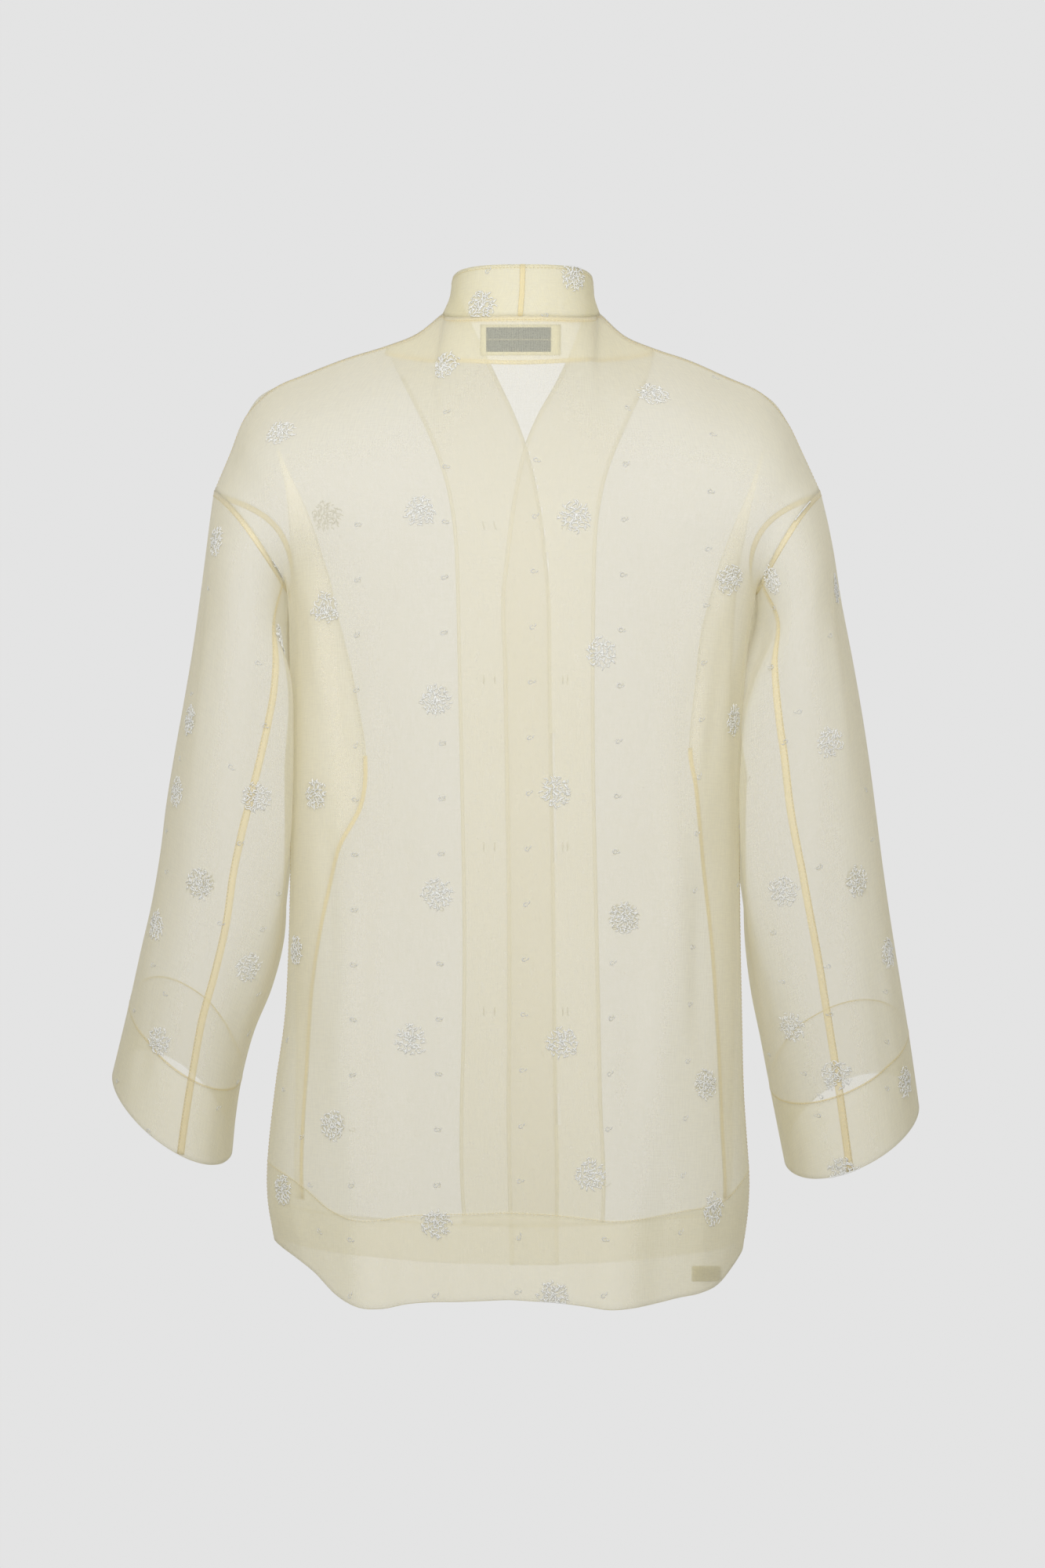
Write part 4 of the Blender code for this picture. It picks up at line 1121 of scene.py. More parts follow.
def add_mesh(name, points, faces, places=None):
    """A mesh object; places are texture places of its points."""
    mesh = bpy.data.meshes.new(name)
    mesh.from_pydata(points.tolist(), [], faces.tolist())
    mesh.shade_smooth()
    if places is not None:
        layer = mesh.uv_layers.new(name="cloth")
        corners = np.empty(len(mesh.loops), dtype=int)
        mesh.loops.foreach_get("vertex_index", corners)
        layer.data.foreach_set("uv", places[corners].astype(np.float32).ravel())
    made = bpy.data.objects.new(name, mesh)
    bpy.context.scene.collection.objects.link(made)
    return made


def weld(made):
    """Join points of grids that meet."""
    whole = bmesh.new()
    whole.from_mesh(made.data)
    bmesh.ops.remove_doubles(whole, verts=whole.verts, dist=WELD_DISTANCE)
    whole.to_mesh(made.data)
    whole.free()


def cloth_piece(name, patches, finish, thickness=THICKNESS):
    """Sew patches (grid, places, flip) into one thin shell."""
    points, places, faces, start = [], [], [], 0
    for grid, place, flip in patches:
        points.append(grid.reshape(-1, 3))
        places.append(place.reshape(-1, 2))
        faces.append(quads(*grid.shape[:2], flip, start))
        start += grid.shape[0] * grid.shape[1]
    made = add_mesh(name, np.concatenate(points), np.concatenate(faces), np.concatenate(places))
    weld(made)
    made.data.materials.append(finish)
    made["area"] = sum(face.area for face in made.data.polygons)
    wall = made.modifiers.new("wall", "SOLIDIFY")
    wall.thickness = thickness
    wall.offset = -1.0
    return made


print("cloth is", THICKNESS * 1000, "mm thick")

# %% [markdown]
# ## Second finishes and flat sizes
# A piece may have more than one finish: on its collar, its turned-up layer, or where it lies under
# the other front's edge. Its flat size is read from its places.

# %% Finish parts of a piece and measure it
FOLD_BANDS = 2                   # rows of faces that go round the fold of a hem
NECK_HEIGHT = back.grid[0, BACK_CENTRE, 2]
UNDER_FRONT = "right"            # the front that lies under the other one's edge


def closed_round(grid):
    """A tube's grid with its first column repeated at the end."""
    return np.concatenate((grid, grid[:, :1]), axis=1)


def refinished(made, finish, chosen, faces=slice(None)):
    """Give another finish to those of a piece's faces whose centres are chosen."""
    slot = len(made.data.materials)
    made.data.materials.append(finish)
    for face in made.data.polygons[faces]:
        if chosen(face.center):
            face.material_index = slot


def deepen_collar(made):
    """Give the part above the back neck the deeper, yellower tone of the collar finish."""
    refinished(made, collar_finish, lambda centre: centre.z > NECK_HEIGHT)


def finish_turn_up(made, cloth, rows, behind, before):
    """Finish the layer turned up inside, behind the middle of the hem and before it."""
    middle = cloth.grid[-1, :, 1].mean()
    across = cloth.grid.shape[1] - 1
    first = (len(cloth.grid) - 1) * across
    layer = slice(first, first + (rows + FOLD_BANDS) * across)
    refinished(made, behind, lambda centre: centre.y >= middle, layer)
    refinished(made, before, lambda centre: centre.y < middle, layer)


def thin_lap(made, over):
    """Give the part that lies under the other front's edge the slack finish."""
    edge = over.grid[::-1, 0]

    def covered(centre):
        return centre.x > np.interp(centre.z, edge[:, 2], edge[:, 0])

    refinished(made, slack_finish, covered)


def spread(places):
    """The greatest width and length of a piece, from its places."""
    return np.ptp(places[..., 0], axis=1).max(), np.ptp(places[..., 1], axis=0).max()


def flat_size(made, width, length):
    """Print and return what a piece was cut to before it was worn."""
    area = min(made["area"], width * length)
    faces = len(made.data.polygons)
    print(f"{made.name}: cut {width:.3f} x {length:.3f} m, {area:.4f} m2, {faces} faces")
    return {"flat": (round(width, 3), round(length, 3)), "area": round(area, 4)}


print("the back neck is at", round(NECK_HEIGHT, 4))

# %% [markdown]
# ## Back, fronts and sleeves
# These pieces take the places of the big solids. The flat size each was cut to is measured and printed
# here, with the turn-ups that are folded away. The layer turned up is denser behind, where it is
# pressed flat, and slack in front.

# %% Back, fronts and sleeves
def carried(made, node=None):
    """A piece that rides on the frame and, when a node is given, takes the place of that solid."""
    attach(made, "root")
    if node:
        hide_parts(node)
    return made


def hemmed_piece(name, cloth, places, turn, others=()):
    """A piece with its hem turned up by so many rows, welded to the other patches."""
    grid, places = turned_up(cloth, places, turn)
    return cloth_piece(name, [(grid, places, cloth.flip), *others], cloth_finish)


back_places = measured(back, UNDERARM_ROW, BACK_CENTRE)
back_cloth = carried(hemmed_piece("back_cloth", back, back_places, FULL_TURN), "back")
finish_turn_up(back_cloth, back, FULL_TURN, hem_finish, hem_finish)
width, length = spread(back_places)
back_cut = flat_size(back_cloth, width, length + BODY_HEM)

front_cloths, front_cuts = {}, {}
for name, front in fronts.items():
    front_places, collar_patch = measured(front, UNDERARM_ROW, 0), patch(collars[name])
    piece = hemmed_piece("front_" + name + "_cloth", front, front_places, FRONT_TURN, [collar_patch])
    carried(piece, "front_" + name)
    deepen_collar(piece)
    finish_turn_up(piece, front, FRONT_TURN, slack_finish, slack_finish)
    if name == UNDER_FRONT:
        thin_lap(piece, fronts["left"])
    width, length = spread(front_places)
    length += BODY_HEM / 2 + spread(collar_patch[1])[0]
    front_cloths[name], front_cuts[name] = piece, flat_size(piece, width, length)

sleeve_cloths, sleeve_cuts = {}, {}
for name, sleeve in sleeves.items():
    sleeve_places = measured(sleeve, 0, 0)
    round_cloth = Cloth(closed_round(sleeve.grid), sleeve.flip)
    round_cloth.normals = closed_round(sleeve.normals)
    piece = hemmed_piece("sleeve_" + name + "_cloth", round_cloth, sleeve_places, FULL_TURN)
    carried(piece, "sleeve_" + name)
    finish_turn_up(piece, round_cloth, FULL_TURN, hem_finish, slack_finish)
    width, length = spread(sleeve_places)
    sleeve_cloths[name], sleeve_cuts[name] = piece, flat_size(piece, width, length + SLEEVE_HEM)

# %% [markdown]
# ## Facings
# Each front edge and the collar are doubled by a facing, a second layer inside the first, and the
# back neck has a curved one. Under sheer cloth the doubled band reads as a paler, richer stripe.

# %% Front facings and back neck facing
FACING_DEPTH = 0.0013
NECK_FACING_DEPTH_INSIDE = 0.0020
NECK_FACING_DROP = 0.037
NECK_FACING_END = 0.004
NECK_FACING_ROWS = 12
FACING_ALLOWANCE = 0.015         # what the cut adds to a facing's width
NECK_CURVE = 1.4                 # the curved facing is cut deeper than it is at its middle


def inner_layer(cloth, depth, rows=None, columns=None):
    """A second layer inside the first."""
    grid = cloth.grid - cloth.normals * depth
    return Cloth(grid[:rows, :columns], cloth.flip)


facings, facing_cloths, facing_cuts = {}, {}, {}
for name, front in fronts.items():
    band = inner_layer(front, FACING_DEPTH, FRONT_TURN_ROW + 1, BAND_COLUMN + 1)
    collar_inside = inner_layer(collars[name], FACING_DEPTH)
    band.grid[0, :COLLAR_COLUMN + 1] = collar_inside.grid[:, 0]
    facings[name] = band
    patches = [patch(band, UNDERARM_ROW), patch(collar_inside)]
    piece = cloth_piece("facing_" + name + "_cloth", patches, painted_light_facing_finish)
    carried(piece, "facing_" + name)
    deepen_collar(piece)
    if name == UNDER_FRONT:
        thin_lap(piece, fronts["left"])
    length = spread(patches[0][1])[1] + spread(patches[1][1])[0]
    facing_cloths[name] = piece
    facing_cuts[name] = flat_size(piece, FACING_WIDTH + FACING_ALLOWANCE, length)


def neck_facing_grid():
    """Rows from the back neck seam down to the curved edge of the facing."""
    reach = BACK_CELL * (NECK_COLUMNS + FACING_SHOULDER_COLUMNS)
    columns = np.arange(BACK_CENTRE - reach, BACK_CENTRE + reach + 1)
    edge = NECK_HEIGHT - NECK_FACING_DROP
    end = back.grid[0, BACK_CENTRE + reach, 2] - NECK_FACING_END
    past = np.abs(back.grid[0, columns, 0] - back.grid[0, BACK_CENTRE, 0])
    lower = edge + (end - edge) * (past / past[-1]) ** 2
    last = [np.interp(-height, -back.grid[:, column, 2], np.arange(len(back.grid)))
            for column, height in zip(columns, lower)]
    rows = np.linspace(0.0, 1.0, NECK_FACING_ROWS)[:, None] * np.array(last)
    return rows, np.broadcast_to(columns.astype(float), rows.shape)


neck_rows, neck_columns = neck_facing_grid()
neck_facing = Cloth(back.at(neck_rows, neck_columns, -NECK_FACING_DEPTH_INSIDE))
neck_facing_cloth = cloth_piece("back_neck_facing_cloth", [patch(neck_facing)], collar_finish)
carried(neck_facing_cloth, "back_neck_facing")
width, length = spread(patch(neck_facing)[1])
neck_cut = flat_size(neck_facing_cloth, width, length * NECK_CURVE)

# %% [markdown]
# ## Seams and turned edges
# Organza frays, so its seams are narrow and closed: the allowances are rolled together inside. That
# makes four layers in a strip a few millimetres wide, which shows through the cloth as a deeper
# yellow line. Each strip follows its seam on the panel's own grid, just under the cloth.

# %% Strips that follow a line on the cloth
SEAM_LIFT = -0.00055
FACING_LIFT = -0.0003
STRIP_THICKNESS = 0.0003
STRIP_POINTS = 4                 # points across a strip


def sideways(cloth, rows, columns):
    """Unit steps to the side of a path, as metres across and down the cloth."""
    points = cloth.at(rows, columns)
    ahead = np.gradient(points, axis=0)
    across = cloth.read(cloth.across, rows, columns)
    across = across / np.linalg.norm(across, axis=-1, keepdims=True)
    down = cloth.read(cloth.down, rows, columns)
    down = down - across * (down * across).sum(axis=-1, keepdims=True)
    down = down / np.linalg.norm(down, axis=-1, keepdims=True)
    right, below = (ahead * across).sum(axis=-1), (ahead * down).sum(axis=-1)
    size = np.hypot(right, below)
    return -below / size, right / size


def beside(cloth, rows, columns, offset):
    """A path moved to its side by a distance on the cloth."""
    right, below = sideways(cloth, rows, columns)
    return cloth.shifted(rows, columns, right * offset, below * offset)


def strip(cloth, rows, columns, near, far, lift=SEAM_LIFT):
    """A strip of cloth beside a path: its grid of points and its places."""
    offsets = np.linspace(near, far, STRIP_POINTS)
    grid = np.stack([cloth.at(*beside(cloth, rows, columns, offset), lift) for offset in offsets])
    run = lengths(grid[0])
    return grid, np.stack(np.broadcast_arrays(offsets[:, None], run[None]), axis=-1)


def strip_piece(name, strips, finish):
    """Strips sewn into one object, which takes no solid's place."""
    patches = [(grid, places, False) for grid, places in strips]
    return carried(cloth_piece(name, patches, finish, STRIP_THICKNESS))


def path(rows, columns):
    """A path over the grid between fractional places."""
    count = int(max(np.ptp(rows), np.ptp(columns))) + 1
    place = np.linspace(0.0, len(rows) - 1.0, max(count, 2))
    knots = np.arange(len(rows), dtype=float)
    return np.interp(place, knots, rows), np.interp(place, knots, columns)


LAST_BACK = BACK_CELL * BACK_COLUMNS
LAST_FRONT = BAND_CELL * BAND_COLUMNS + FRONT_CELL * FRONT_COLUMNS
LAST_COLLAR = BAND_CELL * COLLAR_COLUMNS
LAST_ROW = len(back.grid) - 1
NECK_REACH = BACK_CELL * NECK_COLUMNS
print("a path down the side seam has", len(path([UNDERARM_ROW, LAST_ROW], [0, 0])[0]), "places")

# %% [markdown]
# ## Seams of the back
# The side seams, the shoulder seams and the neck seam are rolled. The upper edge of the turn-up is
# only turned in once, so it is paler. Each line says where it runs, how wide its strip is, to which
# side, and how far from the line its stitches will lie.

# %% Strips of the back
BACK_LINES = (
    (path([UNDERARM_ROW, LAST_ROW], [0, 0]), -0.0062, -0.00465),
    (path([UNDERARM_ROW, LAST_ROW], [LAST_BACK, LAST_BACK]), 0.0062, 0.00465),
    (path([0, 0], [0, BACK_CENTRE - NECK_REACH]), 0.0030, 0.00225),
    (path([0, 0], [BACK_CENTRE + NECK_REACH, LAST_BACK]), 0.0030, 0.00225),
    (path([0, 0], [BACK_CENTRE - NECK_REACH, BACK_CENTRE + NECK_REACH]), 0.0040, 0.0030),
    (path([HEM_ROW, HEM_ROW], [0, LAST_BACK]), 0.0020, 0.0015),
)
back_strips = [strip(back, *line, 0.0, width) for line, width, _ in BACK_LINES]
back_seams = strip_piece("back_seams", back_strips[:-1], seam_finish)
back_edges = strip_piece("back_edges", back_strips[-1:], painted_light_facing_finish)
print("back seams:", len(back_seams.data.polygons), "faces")

# %% [markdown]
# ## Seams of the fronts and facings
# A front has a rolled side seam. Its free edge, its collar's upper edge and the edge of its facing
# are turned in and stitched. The two collar halves meet in a seam behind the neck, which is pressed
# open, so its strip lies on both of them.

# %% Strips of the fronts, facings and collar
FRONT_LINES = {
    "side": (path([UNDERARM_ROW, LAST_ROW], [LAST_FRONT, LAST_FRONT]), 0.0062, 0.0045),
    "free": (path([0, LAST_ROW], [0, 0]), -0.0032, -0.0024),
    "hem": (path([FRONT_TURN_ROW, FRONT_TURN_ROW], [0, LAST_FRONT]), 0.0020, 0.0016),
    "facing": (path([COLLAR_COLUMN, FRONT_TURN_ROW], [BAND_COLUMN, BAND_COLUMN]), 0.0026, 0.0030),
    "collar_top": (path([0, 0], [0, LAST_COLLAR]), 0.0032, 0.0024),
    "collar_back": (path([0, COLLAR_COLUMN], [LAST_COLLAR, LAST_COLLAR]), 0.0018, 0.0018),
}
COLLAR_SEAM_LIFT = 0.0004
NECK_FACING_LINE = (
    path([NECK_FACING_ROWS - 1] * 2, [0, neck_facing.grid.shape[1] - 1]), -0.0034, -0.0026)


def strip_along(cloth, line, lift=SEAM_LIFT):
    """The strip that a line asks for."""
    way, width, _ = line
    return strip(cloth, *way, 0.0, width, lift)


front_seams, front_edges = {}, {}
for name, front in fronts.items():
    side = strip_along(front, FRONT_LINES["side"])
    front_seams[name] = strip_piece("front_" + name + "_seams", [side], seam_finish)
    edges = [
        strip_along(front, FRONT_LINES["free"]),
        strip_along(front, FRONT_LINES["hem"]),
        strip_along(collars[name], FRONT_LINES["collar_top"]),
        strip_along(facings[name], FRONT_LINES["facing"], FACING_LIFT),
    ]
    front_edges[name] = strip_piece("front_" + name + "_edges", edges, painted_light_facing_finish)

halves = [strip_along(collars[name], FRONT_LINES["collar_back"], COLLAR_SEAM_LIFT) for name in SIDES]
collar_strip = [np.concatenate((left[::-1], right[1:])) for left, right in zip(*halves)]
collar_seam = strip_piece("collar_back_seam", [collar_strip], seam_finish)
neck_strip = strip_along(neck_facing, NECK_FACING_LINE, FACING_LIFT)
neck_seams = strip_piece("back_neck_facing_seams", [neck_strip], seam_finish)
print("front seams:", [len(piece.data.polygons) for piece in front_seams.values()])

# %% [markdown]
# ## Seams of the sleeves
# The underarm seam starts below the arm and drifts round to the back as the sleeve leans forward.
# The armhole seam is a ring at the sleeve's top. Both are rolled strips like the others.

# %% Armhole and underarm seams
UNDERARM_SEAM = {
    "left": table(
        ("share", "turn"),
        ((0.0, 0.430), (0.07, 0.385), (0.14, 0.352), (0.234, 0.334), (0.365, 0.310), (0.577, 0.278),
         (0.72, 0.275), (0.82, 0.285), (1.0, 0.290)),
    ),
    "right": table(
        ("share", "turn"),
        ((0.0, 0.430), (0.06, 0.385), (0.168, 0.335), (0.30, 0.306), (0.42, 0.295), (0.512, 0.280),
         (0.612, 0.266), (0.78, 0.265), (1.0, 0.270)),
    ),
}

# Of the armhole seam, the underarm seam and the hem edge: from where to where the strip goes beside
# its path, and where its stitches run.
SLEEVE_STRIPS = ((0.0, 0.0042, 0.0040), (-0.0029, 0.0029, 0.0022), (0.0, 0.0022, 0.0016))


def sleeve_lines(name):
    """The path of each seam of a sleeve, with the measures of its strip."""
    sleeve = sleeves[name]
    rows = np.arange(len(sleeve.grid), dtype=float)
    around = np.arange(sleeve.grid.shape[1] + 1, dtype=float)
    line = UNDERARM_SEAM[name]
    turn = curve_at(line["share"], line["turn"], rows / rows[-1])
    paths = (
        (np.zeros(len(around)), around),
        (rows, turn * sleeve.grid.shape[1]),
        (np.full(len(around), float(SLEEVE_HEM_ROW)), around),
    )
    return [(way, *measures) for way, measures in zip(paths, SLEEVE_STRIPS)]


for name, sleeve in sleeves.items():
    strips = [strip(sleeve, *line, near, far) for line, near, far, _ in sleeve_lines(name)]
    strip_piece("sleeve_" + name + "_seams", strips, seam_finish)

# %% [markdown]
# ## Threads
# Stitches and embroidery are real threads here: short bodies, flattened, thinner at both ends where
# they dive into the cloth. One helper makes any number of them and marks each one's painted highlight
# and shade.

# %% Thread helper
# Four corners of a thread's section: across, up, and its share of the painted highlight; the rest is
# painted shade.
THREAD_RING = ((-0.5, 0.0, 0.35), (0.0, 1.0, 1.0), (0.5, 0.0, 0.35), (0.0, -0.6, 0.0))
RING = len(THREAD_RING)
FIRST_RING = 0.55                # steps from a thread's tip to its first section


def thread_points(centres, normals, width, height):
    """Rings of four points round many threads; centres are (count, sections, 3)."""
    ahead = np.gradient(centres, axis=1)
    side = np.cross(normals, ahead)
    side = side / np.linalg.norm(side, axis=2, keepdims=True)
    sections = centres.shape[1]
    steps = sections - 1 + 2 * FIRST_RING
    taper = np.sin(np.pi * (np.arange(sections) + FIRST_RING) / steps)[None, :, None]
    rings = [centres + side * (across * width * taper) + normals * (up * height * taper)
             for across, up, _ in THREAD_RING]
    return np.stack(rings, axis=2)


def thread_faces(count, sections, start):
    """Side faces and two end caps of each thread."""
    ring = np.arange(RING)
    after = (ring + 1) % RING
    steps = np.arange(sections - 1)[:, None] * RING
    sides = np.stack([steps + ring, steps + after, steps + RING + after, steps + RING + ring], axis=-1)
    caps = np.stack([ring[::-1], ring + (sections - 1) * RING])
    one = np.concatenate((sides.reshape(-1, 4), caps))
    return start + (np.arange(count) * sections * RING)[:, None, None] + one


def thread_piece(name, bundles, finish):
    """One object of many threads; a bundle is (centres, normals, width, height, share of the painted
    highlight).
    """
    points, faces, painted_lights, start = [], [], [], 0
    for centres, normals, width, height, painted_light_share in bundles:
        made = thread_points(centres, normals, width, height)
        count, sections = made.shape[:2]
        faces.append(thread_faces(count, sections, start).reshape(-1, 4))
        # Painted light: each corner's share of the painted highlight, dimmed for the whole bundle by its
        # share.
        painted_lights.append(np.tile([painted_light * painted_light_share for _, _, painted_light in THREAD_RING], count * sections))
        points.append(made.reshape(-1, 3))
        start += count * sections * RING
    made = add_mesh(name, np.concatenate(points), np.concatenate(faces))
    layer = made.data.attributes.new("painted_light", "FLOAT", "POINT")
    layer.data.foreach_set("value", np.concatenate(painted_lights).astype(np.float32))
    made.data.materials.append(finish)
    return carried(made)


print("a thread's section has", RING, "corners")

# %% [markdown]
# ## Thread finishes
# A filament's colour has painted light in it: a painted highlight on its crown and painted shade
# down its flanks and in the gaps. The embroidery's thread is silver-white, and the seams and tacks
# are sewn with silk.

# %% Thread finishes
TWIST_SCALE = 900.0              # noise cells a metre, about the turns of a filament
PAINTED_LIGHT_TONE, TWIST_TONE, PAINTED_SHADE_TONE = 0.8, 0.4, 0.1


def thread_finish(name, painted_highlight_colour, painted_shade_colour, roughness):
    """Glossy filament, with a painted highlight on its crown and painted shade down its flanks."""
    finish = Finish(name, Roughness=roughness, Specular_IOR_Level=0.6, Sheen_Weight=0.1)
    painted_light = finish.node("Attribute", {"attribute_name": "painted_light"}, {}, "Fac")
    place = finish.node("TexCoord", {}, {}, "Object")
    twist = finish.node("TexNoise", {}, {"Vector": place, "Scale": TWIST_SCALE, "Detail": 1.0})
    # Painted highlight on the crowns and painted shade on the flanks and gaps, with random twist on top.
    share = (painted_light * PAINTED_LIGHT_TONE + twist * TWIST_TONE - PAINTED_SHADE_TONE).between(0.0, 1.0)
    finish.feed(Base_Color=finish.mixed(share, painted_shade_colour, painted_highlight_colour))
    return finish.material


# Each thread's colour lit on its crown, as painted highlight, its colour shaded in the gaps, as painted
# shade, and its roughness.
SILVER = ((0.98, 0.98, 0.96, 1), (0.54, 0.55, 0.56, 1), 0.34)
SEWING_SILK = ((0.80, 0.70, 0.44, 1), (0.66, 0.55, 0.30, 1), 0.5)
TACKING_SILK = ((0.88, 0.86, 0.76, 1), (0.70, 0.68, 0.58, 1), 0.5)
silver_finish = thread_finish("silver thread", *SILVER)
sewing_finish = thread_finish("sewing thread", *SEWING_SILK)
tack_finish = thread_finish("tacking thread", *TACKING_SILK)
print("thread finishes made")

# %% [markdown]
# ## Stitching
# A sewing machine leaves a row of short straight stitches about two millimetres long. They hold the
# seam strips, the hems and the facing edges.

# %% Stitch rows
STITCH_PITCH = 0.0028
STITCH_LENGTH = 0.0020
STITCH_SIZE = (0.00042, 0.00022, 1.0)      # width, height and share of the brightness
STITCH_LIFT = 0.0001
STITCH_ARCH = (0.0, 0.0001, 0.0)
NECK_STITCH_LIFT = 0.0004


def stitch_row(cloth, line, lift=STITCH_LIFT):
    """Straight stitches beside a path; a line begins with its path and ends with their distance."""
    rows, columns = beside(cloth, *line[0], line[-1])
    run = lengths(cloth.at(rows, columns))
    starts = np.arange(STITCH_PITCH / 2, run[-1] - STITCH_PITCH, STITCH_PITCH)
    place = starts[:, None] + np.linspace(0.0, STITCH_LENGTH, len(STITCH_ARCH))
    rows, columns = np.interp(place, run, rows), np.interp(place, run, columns)
    centres = cloth.at(rows, columns, lift + np.array(STITCH_ARCH))
    return centres, cloth.read(cloth.normals, rows, columns), *STITCH_SIZE


back_rows = [stitch_row(back, line) for line in BACK_LINES]
back_stitches = thread_piece("back_stitches", back_rows, sewing_finish)

for name in SIDES:
    rows = [stitch_row(fronts[name], FRONT_LINES[edge]) for edge in ("free", "hem", "facing", "side")]
    rows += [stitch_row(collars[name], FRONT_LINES[edge]) for edge in ("collar_top", "collar_back")]
    thread_piece("front_" + name + "_stitches", rows, sewing_finish)

for name, sleeve in sleeves.items():
    rows = [stitch_row(sleeve, line) for line in sleeve_lines(name)]
    thread_piece("sleeve_" + name + "_stitches", rows, sewing_finish)

neck_row = stitch_row(neck_facing, NECK_FACING_LINE, NECK_STITCH_LIFT)
neck_stitches = thread_piece("back_neck_facing_stitches", [neck_row], sewing_finish)
print("stitches on the back:", sum(len(row[0]) for row in back_rows))

# %% [markdown]
# ## Find the place of a motif
# The embroidery is scattered over the whole cloth, and the photograph shows where. For each flower
# the cloth is asked which of its points that face the camera is seen nearest that pixel, and a few
# steps of a linear fit then settle the exact place.

# %% From pixels to cloth
TURNED_AWAY = 1e9                # counts as a distance for cloth that faces the other way
FIT_STEPS = 3
LEAST_CELL = 4.0                 # square pixels; a cell seen edge on counts as this large


def spanned(first, second):
    """The areas that pairs of flat vectors span."""
    return first[:, 0] * second[:, 1] - first[:, 1] * second[:, 0]


def spots(cloth, pixels, near=True):
    """Fractional rows and columns where the cloth is seen at these pixels."""
    pixels = np.array(pixels, dtype=float)
    seen = seen_at(cloth.grid)
    hidden = (cloth.normals[..., 1] < 0.0) == near
    down, across = np.gradient(seen, axis=0), cloth.slope_across(seen)
    rows, columns = [], []
    for pixel in pixels:
        gap = ((seen - pixel) ** 2).sum(axis=2) + np.where(hidden, TURNED_AWAY, 0.0)
        row, column = np.unravel_index(np.argmin(gap), gap.shape)
        rows.append(float(row))
        columns.append(float(column))
    rows, columns = np.array(rows), np.array(columns)
    for _ in range(FIT_STEPS):
        miss = pixels - cloth.read(seen, rows, columns)
        slope_down, slope_across = cloth.read(down, rows, columns), cloth.read(across, rows, columns)
        cell = spanned(slope_down, slope_across)
        cell = np.where(cell < 0, -1.0, 1.0) * np.maximum(np.abs(cell), LEAST_CELL)
        rows = rows + np.clip(spanned(miss, slope_across) / cell, -1, 1)
        columns = columns + np.clip(spanned(slope_down, miss) / cell, -1, 1)
    return rows, columns


print("middle of the back is seen at", seen_at(back.grid[UNDERARM_ROW, BACK_CENTRE]))

# %% [markdown]
# ## Tucks below the arms
# The back is cut wider than the wearer, so the slack below each shoulder lies in a flat tuck inside
# it: two more layers, whose fold runs from the shoulder down to the side. A rolled seam allowance
# follows the lower part of the fold. Through the sheer back the tuck is a denser, yellower band.

# %% Tucks and the seams that follow them
# Down each tuck, in pixels: the height, the place of its side edge and the place of its fold.
TUCK_EDGES = {
    "left": (
        (572, 352, 354), (610, 361, 372), (643, 366, 387), (706, 370, 408), (767, 373, 424),
        (835, 374, 441), (902, 374, 455), (964, 373, 465), (1026, 372, 460), (1088, 372, 429),
        (1182, 373, 408), (1285, 374, 394), (1400, 374, 387), (1530, 376, 385),
    ),
    "right": (
        (572, 977, 975), (610, 968, 962), (643, 960, 949), (690, 951, 930), (726, 945, 918),
        (798, 939, 899), (871, 937, 889), (954, 937, 881), (1006, 937, 889), (1078, 938, 896),
        (1182, 939, 907), (1285, 940, 915), (1400, 938, 921), (1530, 934, 926),
    ),
}
TUCK_LAYERS = (-0.0018, -0.0030)
TUCK_ROWS = 8                    # fine rows between two of the heights above
TUCK_COLUMNS = 8
ALLOWANCE_START = 7              # the height, counted from the top, where the allowance begins
ALLOWANCE_HALF = 0.0017


def smooth_line(pixels):
    """Fractional rows and columns of the back along a soft line through these pixels."""
    knots = np.arange(len(pixels), dtype=float)
    place = np.linspace(0.0, knots[-1], TUCK_ROWS * (len(pixels) - 1) + 1)
    return [curve_at(knots, line, place) for line in spots(back, pixels)]


tucks, tuck_seams = {}, {}
for name, edges in TUCK_EDGES.items():
    fold_rows, fold_columns = smooth_line([(fold, height) for height, _, fold in edges])
    side_rows, side_columns = smooth_line([(side, height) for height, side, _ in edges])
    share = np.linspace(0.0, 1.0, TUCK_COLUMNS)[None]
    rows = side_rows[:, None] * (1.0 - share) + fold_rows[:, None] * share
    columns = side_columns[:, None] * (1.0 - share) + fold_columns[:, None] * share
    outer, inner = (back.at(rows, columns, depth) for depth in TUCK_LAYERS)
    tuck = Cloth(np.concatenate((outer, inner[:, ::-1]), axis=1), flip=name == "right")
    tucks[name] = carried(cloth_piece("back_tuck_" + name, [patch(tuck)], tuck_finish))
    lower = slice(ALLOWANCE_START * TUCK_ROWS, None)
    rolled = strip(
        back, fold_rows[lower], fold_columns[lower], -ALLOWANCE_HALF, ALLOWANCE_HALF, TUCK_LAYERS[0] / 2)
    tuck_seams[name] = strip_piece("back_tuck_" + name + "_seam", [rolled], seam_finish)
    print(name, "tuck:", round(tucks[name]["area"], 4), "m2")

# %% [markdown]
# ## Flower heads
# A flower head is a round cluster of short curling stitches in silver-white thread, about 25 mm
# across: packed at the heart, fanning outwards at the rim, with the cloth showing between. Hand
# work is never quite regular, so every stitch is nudged by a seeded random draw.

# %% Strokes of a flower head
STROKE_SIZE = (0.00105, 0.00050, 1.0)      # width, height and share of the brightness
STROKE_SECTIONS = 5
FLOWER_RADIUS = 0.0126
FLOWER_RIM = 0.0012              # how far inside the radius the last stitches have their middles
FLOWER_STITCHES = 86
FLOWER_LOBES, LOBE_DEPTH = 8.0, 0.07
HEART_SHARE = 0.6                # the first stitch sits this far towards the second one's place
GOLDEN_TURN = 2.39996            # turns by this angle never line up, so the head fills evenly
PLACE_SPREAD, TURN_SPREAD = 0.10, 1.1      # radians
STROKE_LENGTHS = (0.0026, 0.0044)
STROKE_BEND = 0.0017
STROKE_LIFTS = (0.0001, 0.0007)
STROKE_ARCH = 0.0004


